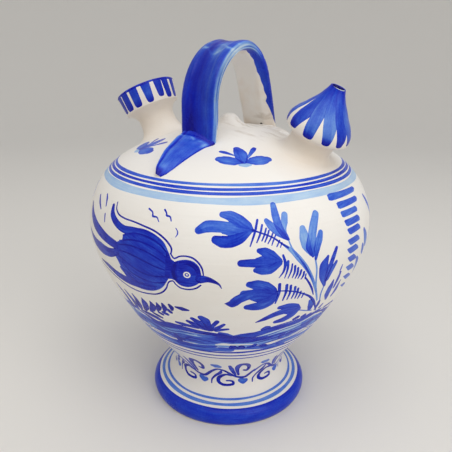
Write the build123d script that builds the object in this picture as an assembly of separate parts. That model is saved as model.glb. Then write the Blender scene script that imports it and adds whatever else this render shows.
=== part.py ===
from build123d import *
from math import atan2, cos, radians, sin, tan
import os

# A painted botijo: a closed, handled water jar on a pedestal foot. Millimetres, +Z up.
# The origin is the centre of the foot's underside. The spout leans to +X, the filling
# mouth leans to -X, and the strap handle arches over the dome from -Y to +Y.

# Walls of the thrown vessel
wall = 5.0
floor_thickness = 6.0

# Pedestal foot
foot_radius = 46.0
foot_roll_radius = 48.1
foot_roll_middle = 4.6
foot_roll_top_radius = 44.8
foot_roll_height = 10.2
foot_rest_width = 7.0
ledge_radius = 38.6
ledge_height = 12.4
pedestal_wall = 5.5

# Outline of the vessel, from the waist to the crown: each height is a rise above the one before
waist_radius = 34.2
waist_height = 23.0
waist_flare = 0.3
cone_radius = 48.4
cone_height = waist_height + 23.0
hip_radius = 71.4
hip_height = cone_height + 38.4
belly_radius = 79.7
belly_height = hip_height + 31.1
neckline_radius = 75.0
neckline_height = belly_height + 17.7
shoulder_radius = 66.8
shoulder_height = neckline_height + 11.0
dome_rise = 21.3
knee_radius = 37.0
knee_share = 0.6855
knee_height = shoulder_height + knee_share * dome_rise
crown_height = shoulder_height + dome_rise

# Closing knob on the crown
knob_height = 6.4
knob_tip_radius = 3.2
knob_waist_radius = 5.6
knob_base_radius = 13.0
knob_foot_slope = 0.15

# Filling mouth: a leaning neck with a flared collar
mouth_lean = 26.0
mouth_offset = 47.2
neck_length = 17.8
neck_radius = 11.2
neck_foot_radius = 18.0
neck_top_radius = 14.6
neck_wall = 3.6
neck_foot_slope = 0.2
neck_top_slope = 0.75
collar_height = 12.4
collar_base_radius = 15.9
collar_rim_radius = 18.0
collar_wall = 3.6
collar_round = 1.2
funnel_rim_draft = 0.2
funnel_foot_draft = 0.3

# Drinking spout: a leaning stem with an onion-shaped nozzle
spout_lean = 25.0
spout_offset = 46.6
stem_length = 9.6
stem_radius = 11.4
stem_foot_radius = 15.6
stem_top_radius = 13.0
stem_wall = 4.0
stem_waist_height = 5.8
stem_foot_slope = 0.3
stem_top_slope = 0.55
onion_radius = 17.0
onion_skirt_height = 3.6
onion_length = 26.4
onion_middle_radius = 9.2
onion_middle_height = 15.5
onion_foot_slope = 0.2
tip_radius = 4.2
tip_draft = 0.1
pouring_hole_radius = 2.4
pouring_hole_length = 7.0

# Strap handle
strap_width = 20.6
strap_thickness = 6.2
strap_round = 2.4
strap_top_height = crown_height + 44.5
strap_top_offset = 0.6
front_arc_radius = 30.0
rear_arc_radius = 25.0
rear_leg_slant = 20.0

# Tails of the strap, pressed on the shoulder, and the coil that seals the rear root
tail_thickness = 4.2
tail_reach = 61.0
tail_heel_length = 4.0
tail_heel_width = 21.4
tail_middle_width = 15.6
tail_tip_width = 4.6
tail_tip_thickness = 2.4
front_tail_turn = -4.0
rear_tail_turn = 0.0
tail_round = 1.6
coil_radius = 3.2
coil_overhang = 7.0

# How far a luted piece is carried into the dome before the dome's outside cuts it
root_depth = 8.0

# Length of the round cutters that open the dome under the neck and the stem
cutter_length = 32.0

# Shares of the outline's length where a parallel outline is taken
outline_stations = [0, 0.06, 0.14, 0.24, 0.34, 0.44, 0.53, 0.62, 0.70, 0.80, 0.90, 1]

# The dome starts above this share of the outline's length
dome_share = 0.6

# Steps taken by the searches along the outline
search_steps = 40


def on_profile(points):
    """Points (radius, height) placed on the XZ half plane."""
    return [Vector(radius, 0, height) for radius, height in points]


def turned(edges):
    """A solid turned about the Z axis from a closed loop of edges on the XZ plane."""
    return revolve(make_face(edges), Axis.Z)


def vessel_outline():
    """The outer outline of belly and dome, from the waist to the crown."""
    stations = [
        (waist_radius, waist_height),
        (cone_radius, cone_height),
        (hip_radius, hip_height),
        (belly_radius, belly_height),
        (neckline_radius, neckline_height),
        (shoulder_radius, shoulder_height),
        (knee_radius, knee_height),
        (0, crown_height),
    ]
    ends = [Vector(waist_flare, 0, 1), Vector(-1, 0, 0)]
    return Spline(*on_profile(stations), tangents=ends)


def parallel_outline(shift):
    """The outline moved square to itself, outwards where shift is positive."""
    curve = vessel_outline()
    moved = []
    for share in outline_stations:
        place = curve.position_at(share)
        along = curve.tangent_at(share)
        moved.append((place.X + along.Z * shift, place.Z - along.X * shift))
    moved[-1] = (0, crown_height + shift)
    ends = [Vector(waist_flare, 0, 1), Vector(-1, 0, 0)]
    return Spline(*on_profile(moved), tangents=ends)


def filled(skin):
    """The solid under an outline, closed by a flat base."""
    low = skin @ 0
    high = skin @ 1
    foot = Vector(0, 0, low.Z)
    return turned([Line(foot, low), skin, Line(high, foot)])


def dome_height(radius):
    """Height of the dome's outside at a distance from the axis."""
    curve = vessel_outline()
    low, high = dome_share, 1
    for _ in range(search_steps):
        middle = (low + high) / 2
        if curve.position_at(middle).X > radius:
            low = middle
        else:
            high = middle
    return curve.position_at(low).Z


def dome_slope(radius):
    """Downward slope of the dome's outside, in radians, at a distance from the axis."""
    return atan2(dome_height(radius - 1) - dome_height(radius + 1), 2)


def leaning_plane(offset, lean):
    """A plane on the dome at X = offset, whose normal leans from Z towards +X by lean degrees."""
    tilt = radians(lean)
    base = (offset, 0, dome_height(abs(offset)))
    return Plane(origin=base, x_dir=(cos(tilt), 0, -sin(tilt)), z_dir=(sin(tilt), 0, cos(tilt)))


# Vessel

def make_pedestal_foot():
    rest = Line(*on_profile([(foot_radius - foot_rest_width, 0), (foot_radius, 0)]))
    roll_points = [
        (foot_radius, 0),
        (foot_roll_radius, foot_roll_middle),
        (foot_roll_top_radius, foot_roll_height),
    ]
    roll = ThreePointArc(*on_profile(roll_points))
    ledge = Line(roll @ 1, Vector(ledge_radius, 0, ledge_height))
    waist = Vector(waist_radius, 0, waist_height)
    sweep_up = Spline(ledge @ 1, waist, tangents=[ledge % 1, Vector(waist_flare, 0, 1)])
    top = Line(waist, waist - Vector(pedestal_wall, 0, 0))
    inside = Line(top @ 1, rest @ 0)
    return turned([rest, roll, ledge, sweep_up, top, inside])


def make_vessel(outside, mouth_plane, spout_plane):
    """The hollow vessel, cut at the shoulder into belly and dome."""
    hollow = filled(parallel_outline(-wall))
    floor_top = waist_height + floor_thickness
    hollow = split(hollow, bisect_by=Plane.XY.offset(floor_top), keep=Keep.TOP)
    shell = outside - hollow
    seam = Plane.XY.offset(shoulder_height)
    belly = split(shell, bisect_by=seam, keep=Keep.BOTTOM)
    dome = split(shell, bisect_by=seam, keep=Keep.TOP)
    dome -= mouth_plane.location * Cylinder(neck_radius - neck_wall, cutter_length)
    dome -= spout_plane.location * Cylinder(stem_radius - stem_wall, cutter_length)
    return belly, dome


def make_closing_knob(outside):
    base = dome_height(knob_base_radius)
    top = crown_height + knob_height
    flank_points = [
        (knob_base_radius, base),
        (knob_waist_radius, crown_height + knob_height / 2),
        (knob_tip_radius, top - knob_tip_radius / 2),
        (0, top),
    ]
    flank = Spline(*on_profile(flank_points), tangents=[Vector(-1, 0, knob_foot_slope), Vector(-1, 0, 0)])
    under = Vector(0, 0, base - root_depth)
    edge = Vector(knob_base_radius, 0, base - root_depth)
    knob = turned([Line(under, edge), Line(edge, flank @ 0), flank, Line(flank @ 1, under)])
    return knob - outside


# Filling mouth

def make_filling_neck(plane, outside):
    bore = neck_radius - neck_wall
    flank_points = [
        (neck_foot_radius, 0),
        (neck_radius, neck_length / 2),
        (neck_top_radius, neck_length),
    ]
    ends = [Vector(-1, 0, neck_foot_slope), Vector(1, 0, neck_top_slope)]
    flank = Spline(*on_profile(flank_points), tangents=ends)
    low_inner, low_outer = on_profile([(bore, -root_depth), (neck_foot_radius, -root_depth)])
    top_inner = Vector(bore, 0, neck_length)
    edges = [
        Line(low_inner, low_outer),
        Line(low_outer, flank @ 0),
        flank,
        Line(flank @ 1, top_inner),
        Line(top_inner, low_inner),
    ]
    return plane.location * turned(edges) - outside


def make_mouth_collar(plane):
    bore = neck_radius - neck_wall
    rim_height = neck_length + collar_height
    base_inner, base_outer = on_profile([(bore, neck_length), (collar_base_radius, neck_length)])
    rim_outer = Vector(collar_rim_radius, 0, rim_height)
    rim_inner = Vector(collar_rim_radius - collar_wall, 0, rim_height)
    ends = [Vector(-funnel_rim_draft, 0, -1), Vector(-funnel_foot_draft, 0, -1)]
    funnel = Spline(rim_inner, base_inner, tangents=ends)
    edges = [
        Line(base_inner, base_outer),
        Line(base_outer, rim_outer),
        Line(rim_outer, rim_inner),
        funnel,
    ]
    collar = turned(edges)
    rims = collar.edges().filter_by_position(Axis.Z, rim_height, rim_height)
    return plane.location * fillet(rims, collar_round)


# Drinking spout

def make_spout_stem(plane, outside):
    bore = stem_radius - stem_wall
    flank_points = [
        (stem_foot_radius, 0),
        (stem_radius, stem_waist_height),
        (stem_top_radius, stem_length),
    ]
    ends = [Vector(-1, 0, stem_foot_slope), Vector(1, 0, stem_top_slope)]
    flank = Spline(*on_profile(flank_points), tangents=ends)
    low_inner, low_outer = on_profile([(bore, -root_depth), (stem_foot_radius, -root_depth)])
    top_inner = Vector(bore, 0, stem_length)
    edges = [
        Line(low_inner, low_outer),
        Line(low_outer, flank @ 0),
        flank,
        Line(flank @ 1, top_inner),
        Line(top_inner, low_inner),
    ]
    return plane.location * turned(edges) - outside


def make_drinking_spout(plane):
    bore = stem_radius - stem_wall
    tip_height = stem_length + onion_length
    base_inner, base_outer = on_profile([(bore, stem_length), (stem_top_radius, stem_length)])
    skirt = Vector(onion_radius, 0, stem_length + onion_skirt_height)
    under = Spline(base_outer, skirt, tangents=[Vector(1, 0, onion_foot_slope), Vector(0, 0, 1)])
    middle = Vector(onion_middle_radius, 0, stem_length + onion_middle_height)
    tip = Vector(tip_radius, 0, tip_height)
    flank = Spline(skirt, middle, tip, tangents=[Vector(0, 0, 1), Vector(-tip_draft, 0, 1)])
    hole_top = Vector(pouring_hole_radius, 0, tip_height)
    hole_low = Vector(pouring_hole_radius, 0, tip_height - pouring_hole_length)
    bulb_low = Vector(bore, 0, stem_length + onion_skirt_height)
    edges = [
        Line(base_inner, base_outer),
        under,
        flank,
        Line(tip, hole_top),
        Line(hole_top, hole_low),
        Line(hole_low, bulb_low),
        Line(bulb_low, base_inner),
    ]
    return plane.location * turned(edges)


# Handle

def strap_path():
    """Middle line of the strap: an upright front leg, two arcs, a slanting rear leg."""
    top = Vector(0, strap_top_offset, strap_top_height - strap_thickness / 2)
    slant = radians(rear_leg_slant)
    front_centre = top - Vector(0, 0, front_arc_radius)
    front_spring = front_centre - Vector(0, front_arc_radius, 0)
    front_middle = front_centre + front_arc_radius * Vector(0, -sin(radians(45)), cos(radians(45)))
    rear_centre = top - Vector(0, 0, rear_arc_radius)
    rear_spring = rear_centre + rear_arc_radius * Vector(0, cos(slant), sin(slant))
    half_turn = (radians(90) + slant) / 2
    rear_middle = rear_centre + rear_arc_radius * Vector(0, cos(half_turn), sin(half_turn))
    low = dome_height(front_arc_radius) - root_depth
    front_foot = Vector(0, front_spring.Y, low)
    rear_foot = rear_spring + (rear_spring.Z - low) * Vector(0, tan(slant), -1)
    return [
        Line(front_foot, front_spring),
        ThreePointArc(front_spring, front_middle, top),
        ThreePointArc(top, rear_middle, rear_spring),
        Line(rear_spring, rear_foot),
    ]


def make_handle_strap(path, outside):
    start = Plane(origin=path[0] @ 0, x_dir=(1, 0, 0), z_dir=(0, 0, 1))
    section = start * RectangleRounded(strap_width, strap_thickness, strap_round)
    return sweep(section, path=Wire(path)) - outside


def make_tail(root, side, turn, strap, outside):
    """A lance-shaped tail lofted along the shoulder, from the strap's face outwards."""
    heel = root + tail_heel_length
    stations = [
        (root - strap_round, strap_width, tail_thickness),
        (heel, tail_heel_width, tail_thickness),
        ((heel + tail_reach) / 2, tail_middle_width, tail_thickness),
        (tail_reach, tail_tip_width, tail_tip_thickness),
    ]
    sections = []
    for reach, width, thickness in stations:
        slope = dome_slope(reach)
        base = (0, side * reach, dome_height(reach))
        along = (0, side * cos(slope), -sin(slope))
        plane = Plane(origin=base, x_dir=(1, 0, 0), z_dir=along)
        sections.append(plane * RectangleRounded(width, 2 * thickness, tail_round))
    tail = loft(sections)
    tail = tail.rotate(Axis((0, side * root, 0), (0, 0, 1)), turn)
    return tail - outside - strap


def make_rear_root_coil(root, strap, outside):
    length = strap_width + coil_overhang
    lie = Location((coil_overhang / 2, root, dome_height(root)), (0, 90, 0))
    roll = Cylinder(coil_radius, length)
    for end in (-1, 1):
        roll += Pos(0, 0, end * length / 2) * Sphere(coil_radius)
    return lie * roll - strap - outside


def leg_crossing(line, outside_face_shift):
    """Distance from the axis, along Y, where a leg's face meets the dome."""
    low = line @ 0 if (line @ 0).Z < (line @ 1).Z else line @ 1
    high = line @ 1 if (line @ 0).Z < (line @ 1).Z else line @ 0
    rise = (high - low).normalized()
    reach = abs(low.Y)
    for _ in range(search_steps):
        climb = (dome_height(reach) - low.Z) / rise.Z
        reach = abs(low.Y + rise.Y * climb) + outside_face_shift
    return reach


def main():
    os.makedirs("parts", exist_ok=True)
    outside = filled(vessel_outline())
    mouth_plane = leaning_plane(-mouth_offset, -mouth_lean)
    spout_plane = leaning_plane(spout_offset, spout_lean)
    belly, dome = make_vessel(outside, mouth_plane, spout_plane)
    path = strap_path()
    strap = make_handle_strap(path, outside)
    front_face = leg_crossing(path[0], strap_thickness / 2)
    rear_face = leg_crossing(path[3], strap_thickness / 2)
    rear_inner = leg_crossing(path[3], -strap_thickness / 2)
    pieces = {
        "pedestal_foot": make_pedestal_foot(),
        "belly": belly,
        "shoulder_dome": dome,
        "closing_knob": make_closing_knob(outside),
        "filling_neck": make_filling_neck(mouth_plane, outside),
        "mouth_collar": make_mouth_collar(mouth_plane),
        "spout_stem": make_spout_stem(spout_plane, outside),
        "drinking_spout": make_drinking_spout(spout_plane),
        "handle_strap": strap,
        "handle_front_tail": make_tail(front_face, -1, front_tail_turn, strap, outside),
        "handle_rear_tail": make_tail(rear_face, 1, rear_tail_turn, strap, outside),
        "rear_root_coil": make_rear_root_coil(rear_inner, strap, outside),
    }
    for name, piece in pieces.items():
        export_step(piece, f"parts/{name}.step")


main()
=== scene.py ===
from functools import partial
from math import atan2, ceil, copysign, cos, degrees, exp, hypot, pi, radians, sin, sqrt, tau
import bpy
import bmesh
import numpy as np
from mathutils import Matrix, Vector
from mathutils.geometry import delaunay_2d_cdt
from mathutils.kdtree import KDTree


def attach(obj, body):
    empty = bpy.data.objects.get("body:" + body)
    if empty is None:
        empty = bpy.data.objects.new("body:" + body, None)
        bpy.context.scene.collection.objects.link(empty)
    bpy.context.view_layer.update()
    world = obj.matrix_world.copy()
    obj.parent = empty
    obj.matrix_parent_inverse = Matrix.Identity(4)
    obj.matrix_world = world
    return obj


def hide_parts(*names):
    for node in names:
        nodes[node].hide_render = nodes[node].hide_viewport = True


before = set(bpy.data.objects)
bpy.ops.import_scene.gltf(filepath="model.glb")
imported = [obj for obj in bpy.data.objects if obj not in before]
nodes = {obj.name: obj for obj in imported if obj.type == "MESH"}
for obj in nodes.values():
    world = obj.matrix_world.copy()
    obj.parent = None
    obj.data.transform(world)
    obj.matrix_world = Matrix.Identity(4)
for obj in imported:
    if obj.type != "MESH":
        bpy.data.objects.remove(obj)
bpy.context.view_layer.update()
print("frame loaded:", len(nodes), "nodes")
mm = 0.001


# Stage: a pale round floor that sweeps up, soft lights, and the camera

stage = {"flat": 0.95, "sweep": 0.9, "rise": 1.1, "steps": 10, "segments": 96,
         "colour": (0.76, 0.74, 0.7), "dullness": 0.9,
         "sky": (0.96, 0.97, 1.0), "skyPower": 0.55, "aim": (0, 0, 0.1)}
lamps = {
    "overhead": {"at": (0.22, -0.30, 1.0), "size": 0.9, "power": 4.6, "tint": (1.0, 0.985, 0.96)},
    "rightWindow": {"at": (0.85, -0.25, 0.5), "size": 0.7, "power": 2.6, "tint": (1.0, 0.99, 0.97)},
    "leftFill": {"at": (-0.75, -0.6, 0.55), "size": 0.9, "power": 0.62, "tint": (1.0, 0.86, 0.64)},
}
cameraAt = {"around": 31.5, "distance": 292.9, "height": 207.3, "pitch": 19.11, "yaw": -0.41, "roll": 0.23,
            "lens": 41.57, "sensor": 36, "nearest": 0.01}


def deselectAll():
    if bpy.context.object and bpy.context.object.mode != "OBJECT":
        bpy.ops.object.mode_set(mode="OBJECT")
    bpy.ops.object.select_all(action="DESELECT")


def makeFloor():
    deselectAll()
    bpy.ops.mesh.primitive_circle_add(vertices=stage["segments"], radius=stage["flat"], fill_type="NGON")
    floor = bpy.context.object
    floor.name = "paleFloor"
    bpy.ops.object.mode_set(mode="EDIT")
    bpy.ops.mesh.select_all(action="SELECT")
    bpy.ops.mesh.region_to_loop()
    reach, height = stage["flat"], 0.0
    for k in range(stage["steps"]):  # the sweep is a quarter of an ellipse
        turn = radians(90) * (k + 1) / stage["steps"]
        newReach = stage["flat"] + stage["sweep"] * sin(turn)
        newHeight = stage["rise"] * (1 - cos(turn))
        bpy.ops.mesh.extrude_edges_move(TRANSFORM_OT_translate={"value": (0, 0, newHeight - height)})
        grow = newReach / reach
        bpy.ops.transform.resize(value=(grow, grow, 1), center_override=(0, 0, newHeight))
        reach, height = newReach, newHeight
    bpy.ops.object.mode_set(mode="OBJECT")
    bpy.ops.object.shade_smooth()
    material = bpy.data.materials.new("paleFloor")
    material.use_nodes = True
    shader = material.node_tree.nodes["Principled BSDF"]
    shader.inputs["Base Color"].default_value = (*stage["colour"], 1)
    shader.inputs["Roughness"].default_value = stage["dullness"]
    floor.data.materials.append(material)


def makeLights():
    world = bpy.data.worlds.new("softSky")
    bpy.context.scene.world = world
    world.use_nodes = True
    back = world.node_tree.nodes["Background"]
    back.inputs["Color"].default_value = (*stage["sky"], 1)
    back.inputs["Strength"].default_value = stage["skyPower"]
    for name, lamp in lamps.items():
        data = bpy.data.lights.new(name, "AREA")
        data.energy = lamp["power"]
        data.size = lamp["size"]
        data.color = lamp["tint"]
        light = bpy.data.objects.new(name, data)
        light.location = lamp["at"]
        aim = Vector(stage["aim"]) - Vector(lamp["at"])
        light.rotation_euler = aim.to_track_quat("-Z", "Y").to_euler()
        bpy.context.scene.collection.objects.link(light)


def makeCamera():
    around, pitch, yaw, roll = (radians(cameraAt[k]) for k in ("around", "pitch", "yaw", "roll"))
    spin = Matrix.Rotation(around, 4, "Z")
    aim = Matrix.Rotation(-yaw, 4, "Z") @ Matrix.Rotation(radians(90) - pitch, 4, "X")
    data = bpy.data.cameras.new("photoCamera")
    data.lens = cameraAt["lens"]
    data.sensor_width = cameraAt["sensor"]
    data.clip_start = cameraAt["nearest"]
    camera = bpy.data.objects.new("photoCamera", data)
    place = Matrix.Translation(Vector((0, -cameraAt["distance"], cameraAt["height"])) * mm)
    camera.matrix_world = spin @ place @ aim @ Matrix.Rotation(roll, 4, "Z")
    bpy.context.scene.collection.objects.link(camera)
    bpy.context.scene.camera = camera
    bpy.context.scene.view_settings.view_transform = "Standard"
    bpy.context.scene.view_settings.exposure = 0


makeFloor()
makeLights()
makeCamera()
print("stage set")


# Finishes: tin-white glaze, and cobalt laid on it with a brush

glaze = {
    "white": (0.84, 0.82, 0.785), "warm": (0.76, 0.67, 0.57), "pitBrown": (0.42, 0.34, 0.27),
    "sand": (0.46, 0.38, 0.3), "pinholeShade": (0.06, 0.04, 0.03),
    # noises: scale, or stretch along each axis, then detail and roughness
    "clouds": (26, 4), "lines": (9, 9, 420), "peel": (620, 2), "specks": (1500, 1),
    "ripples": (70, 240, 160), "rippleDetail": (4, 0.62),
    # from which level a noise shows, and how strongly
    "pitsFrom": 0.735, "pitsGain": 9.0, "pitsTint": 0.5, "warmFrom": 0.42, "warmGain": 1.6, "linesTint": 0.1,
    "sandFrom": 0.51, "sandGain": 14.0, "sandMost": 0.42, "pinholeShadeGain": 2.6,
    "peelHeight": 0.22, "rippleHeight": 2.0, "roughness": 0.26, "cloudRoughness": 0.16,
    # neck and stem are luted on, and the dome round them is warmer, partly thin glaze and partly painted
    # shade: place, reach and depth of each spot
    "thinGlazeAndShadeSpots": (((0.05, -0.004, 0.158), 0.034, 1.0), ((-0.052, -0.002, 0.168), 0.03, 0.8)),
    "spotsEvenly": 0.45,
    # a pinhole by the strap's rear root, painted near-black for the shade inside it, and slip smeared over
    # the crown: place and reach
    "pinhole": ((0.0029, 0.0312, 0.1624), 0.0011), "smear": ((0.012, 0.012, 0.149), 0.034),
    "ior": 1.5, "specular": 0.2, "bump": 0.35, "bumpDepth": 0.0005,
}
cobalt = {
    # streaks and pools follow the brush: stretch along, across
    "hair": (0.07, 1.5, 0), "hairDetail": (3, 0.6), "pools": (0.11, 0.3, 0), "grain": (1100, 2), "dust": 0.22,
    "rimPower": 5.0, "shine": 0.05,
    # what a wash takes from red, green and blue: thin ones stay sky blue, thick ones go to navy
    "thin": (2.0, 0.68, -0.16), "thick": (3.25, 2.85, 0.66),
}
# each finish: warmth of the white, throwing lines and, where painted, brush streaks and rim
finishes = {
    "belly": (0.34, 1.0, 0.6, 0.16), "dome": (0.24, 0.8, 0.6, 0.14), "foot": (0.3, 0.8, 0.34, 0.1),
    # the handle's high warmth gives the strap's white a warm tone, on its inner face partly thin glaze and
    # partly painted shade under the arch
    "mouth": (0.4, 0.6, 0.4, 0.14), "spout": (0.24, 0.5, 0.5, 0.14), "handle": (3.2, 0.2, 0.27, 0.0),
    # neck and stem have a warmer white, partly painted shade where they stand under the collar and the onion
    "tail": (0.3, 0.2, 0.4, 0.0), "plain": (0.3, 0.4), "neckAndStem": (0.5, 0.7),
}


def newGroup(name, inputs, outputs):
    group = bpy.data.node_groups.new(name, "ShaderNodeTree")
    for label, kind, value in inputs:
        socket = group.interface.new_socket(label, in_out="INPUT", socket_type="NodeSocket" + kind)
        if value is not None:
            socket.default_value = value
    for label, kind in outputs:
        group.interface.new_socket(label, in_out="OUTPUT", socket_type="NodeSocket" + kind)
    return group, group.nodes.new("NodeGroupInput"), group.nodes.new("NodeGroupOutput")


def mathNode(tree, operation, a, b, clamp=False):
    node = tree.nodes.new("ShaderNodeMath")
    node.operation = operation
    node.use_clamp = clamp
    for socket, value in zip(node.inputs, (a, b)):
        if isinstance(value, (int, float)):
            socket.default_value = value
        else:
            tree.links.new(value, socket)
    return node.outputs[0]


def sums(tree):
    # plus, minus and times in one node tree
    return [partial(mathNode, tree, operation) for operation in ("ADD", "SUBTRACT", "MULTIPLY")]


def noiseNode(tree, vector, scale, detail=3, roughness=0.55):
    node = tree.nodes.new("ShaderNodeTexNoise")
    node.inputs["Scale"].default_value = scale
    node.inputs["Detail"].default_value = detail
    node.inputs["Roughness"].default_value = roughness
    tree.links.new(vector, node.inputs["Vector"])
    return node.outputs[0]


def stretched(tree, vector, scale):
    node = tree.nodes.new("ShaderNodeMapping")
    node.inputs["Scale"].default_value = scale
    tree.links.new(vector, node.inputs["Vector"])
    return node.outputs[0]


def mixColour(tree, factor, a, b):
    node = tree.nodes.new("ShaderNodeMix")
    node.data_type = "RGBA"
    tree.links.new(factor, node.inputs[0])
    for socket, value in ((node.inputs[6], a), (node.inputs[7], b)):
        if isinstance(value, tuple):
            socket.default_value = (*value, 1)
        else:
            tree.links.new(value, socket)
    return node.outputs[2]


def nearSpot(tree, place, spot, reach):
    # 1 at the spot, 0 at a distance of reach
    away = tree.nodes.new("ShaderNodeVectorMath")
    away.operation = "DISTANCE"
    tree.links.new(place, away.inputs[0])
    away.inputs[1].default_value = spot
    share = mathNode(tree, "DIVIDE", away.outputs["Value"], reach)
    return mathNode(tree, "SUBTRACT", 1.0, share, True)


def makeKilnGlaze():
    # white glaze: clouds of warmth, faint throwing lines, pits and a slight orange peel
    group, given, out = newGroup("kilnGlaze", [("Warmth", "Float", 0.3), ("Lines", "Float", 1.0)],
                                 [("Color", "Color"), ("Height", "Float"), ("Roughness", "Float")])
    plus, minus, times = sums(group)
    place = group.nodes.new("ShaderNodeTexCoord").outputs["Object"]
    clouds = noiseNode(group, place, *glaze["clouds"])
    lines = noiseNode(group, stretched(group, place, glaze["lines"]), 1.0, 2)
    peel = noiseNode(group, place, *glaze["peel"])
    specks = noiseNode(group, place, *glaze["specks"])
    pits = times(minus(specks, glaze["pitsFrom"]), glaze["pitsGain"], True)
    warm = times(minus(clouds, glaze["warmFrom"]), given.outputs["Warmth"])
    tone = plus(times(warm, glaze["warmGain"]), times(lines, glaze["linesTint"]), True)
    # painted shade and thin glaze warm the dome round the feet of neck and stem
    for spot, reach, depth in glaze["thinGlazeAndShadeSpots"]:
        near = nearSpot(group, place, spot, reach)
        near = times(near, plus(clouds, glaze["spotsEvenly"]))
        tone = plus(tone, times(near, depth), True)
    colour = mixColour(group, tone, glaze["white"], glaze["warm"])
    colour = mixColour(group, times(pits, glaze["pitsTint"]), colour, glaze["pitBrown"])
    # the smeared slip has fine ripples, sandy where the glaze has drawn back
    ripples = noiseNode(group, stretched(group, place, glaze["ripples"]), 1.0, *glaze["rippleDetail"])
    smear = nearSpot(group, place, *glaze["smear"])
    sand = minus(ripples, glaze["sandFrom"], True)
    sand = times(sand, times(smear, glaze["sandGain"]))
    colour = mixColour(group, mathNode(group, "MINIMUM", sand, glaze["sandMost"]), colour, glaze["sand"])
    # painted shade: the pinhole is darkened near-black
    pinholeShade = times(nearSpot(group, place, *glaze["pinhole"]), glaze["pinholeShadeGain"], True)
    colour = mixColour(group, pinholeShade, colour, glaze["pinholeShade"])
    group.links.new(colour, out.inputs["Color"])
    ridges = times(lines, given.outputs["Lines"])
    height = plus(ridges, times(peel, glaze["peelHeight"]))
    height = plus(height, times(times(ripples, smear), glaze["rippleHeight"]))
    group.links.new(minus(height, pits), out.inputs["Height"])
    roughness = plus(times(clouds, glaze["cloudRoughness"]), glaze["roughness"])
    group.links.new(roughness, out.inputs["Roughness"])
    return group


def makeCobaltBrush():
    # streaks run along a stroke, pigment gathers at its rim, and a thin wash lets white through
    inputs = [("White", "Color", None), ("Streaks", "Float", 0.5), ("Rim", "Float", 0.12)]
    group, given, out = newGroup("cobaltBrush", inputs, [("Color", "Color"), ("Load", "Float")])
    plus, minus, times = sums(group)
    load = group.nodes.new("ShaderNodeAttribute")
    load.attribute_name = "cobalt"
    brush = group.nodes.new("ShaderNodeAttribute")
    brush.attribute_name = "brush"
    along = brush.outputs["Vector"]
    place = group.nodes.new("ShaderNodeTexCoord").outputs["Object"]
    parts = group.nodes.new("ShaderNodeSeparateXYZ")
    group.links.new(along, parts.inputs[0])
    hair = noiseNode(group, stretched(group, along, cobalt["hair"]), 1.0, *cobalt["hairDetail"])
    pools = noiseNode(group, stretched(group, along, cobalt["pools"]), 1.0, 2)
    grain = noiseNode(group, place, *cobalt["grain"])
    streak = times(minus(hair, 0.5), given.outputs["Streaks"])
    pool = times(minus(pools, 0.5), given.outputs["Streaks"])
    rim = times(mathNode(group, "POWER", parts.outputs[2], cobalt["rimPower"]), given.outputs["Rim"])
    dust = times(minus(grain, 0.5), cobalt["dust"])
    share = plus(plus(streak, pool), plus(rim, dust))
    amount = times(load.outputs["Fac"], plus(share, 1.0))
    split = group.nodes.new("ShaderNodeSeparateColor")
    group.links.new(given.outputs["White"], split.inputs[0])
    join = group.nodes.new("ShaderNodeCombineColor")
    for k in range(3):
        depth = plus(times(amount, -cobalt["thick"][k]), -cobalt["thin"][k])
        fade = mathNode(group, "POWER", exp(1), times(amount, depth))
        group.links.new(times(split.outputs[k], fade), join.inputs[k])
    group.links.new(join.outputs[0], out.inputs["Color"])
    group.links.new(amount, out.inputs["Load"])
    return group


kilnGlaze = makeKilnGlaze()
cobaltBrush = makeCobaltBrush()


def placeGroup(tree, group, values):
    node = tree.nodes.new("ShaderNodeGroup")
    node.node_tree = group
    for label, value in values.items():
        node.inputs[label].default_value = value
    return node


def makeGlaze(name, warmth, lines, streaks=None, rim=None):
    material = bpy.data.materials.new(name)
    material.use_nodes = True
    tree = material.node_tree
    shader = tree.nodes["Principled BSDF"]
    shader.inputs["IOR"].default_value = glaze["ior"]
    shader.inputs["Specular IOR Level"].default_value = glaze["specular"]
    white = placeGroup(tree, kilnGlaze, {"Warmth": warmth, "Lines": lines})
    colour, rough = white.outputs["Color"], white.outputs["Roughness"]
    if streaks is not None:
        brush = placeGroup(tree, cobaltBrush, {"Streaks": streaks, "Rim": rim})
        tree.links.new(colour, brush.inputs["White"])
        colour = brush.outputs["Color"]
        shine = mathNode(tree, "MULTIPLY", brush.outputs["Load"], cobalt["shine"])
        rough = mathNode(tree, "SUBTRACT", rough, shine)
    tree.links.new(colour, shader.inputs["Base Color"])
    tree.links.new(rough, shader.inputs["Roughness"])
    relief = tree.nodes.new("ShaderNodeBump")
    relief.inputs["Strength"].default_value = glaze["bump"]
    relief.inputs["Distance"].default_value = glaze["bumpDepth"]
    tree.links.new(white.outputs["Height"], relief.inputs["Height"])
    tree.links.new(relief.outputs["Normal"], shader.inputs["Normal"])
    return material


finish = {name: makeGlaze(name + "Glaze", *values) for name, values in finishes.items()}
print("finishes mixed:", len(finish))


# Brushwork: a stroke is a row of (around, up, width), in degrees from the front and mm

brushwork = {"thinnest": 0.12, "capSteps": 7, "merge": 1e-5, "linePad": 8, "blobPad": 0.1,
             "apart": (53.7, 17.3),  # sets each stroke's streaks apart from the next one's
             "overlap": 0.25, "fullest": 1.15}  # what a stroke gains from one under it, and where that ends
wheel = {"step": 3.0, "lap": 6}  # degrees


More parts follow.
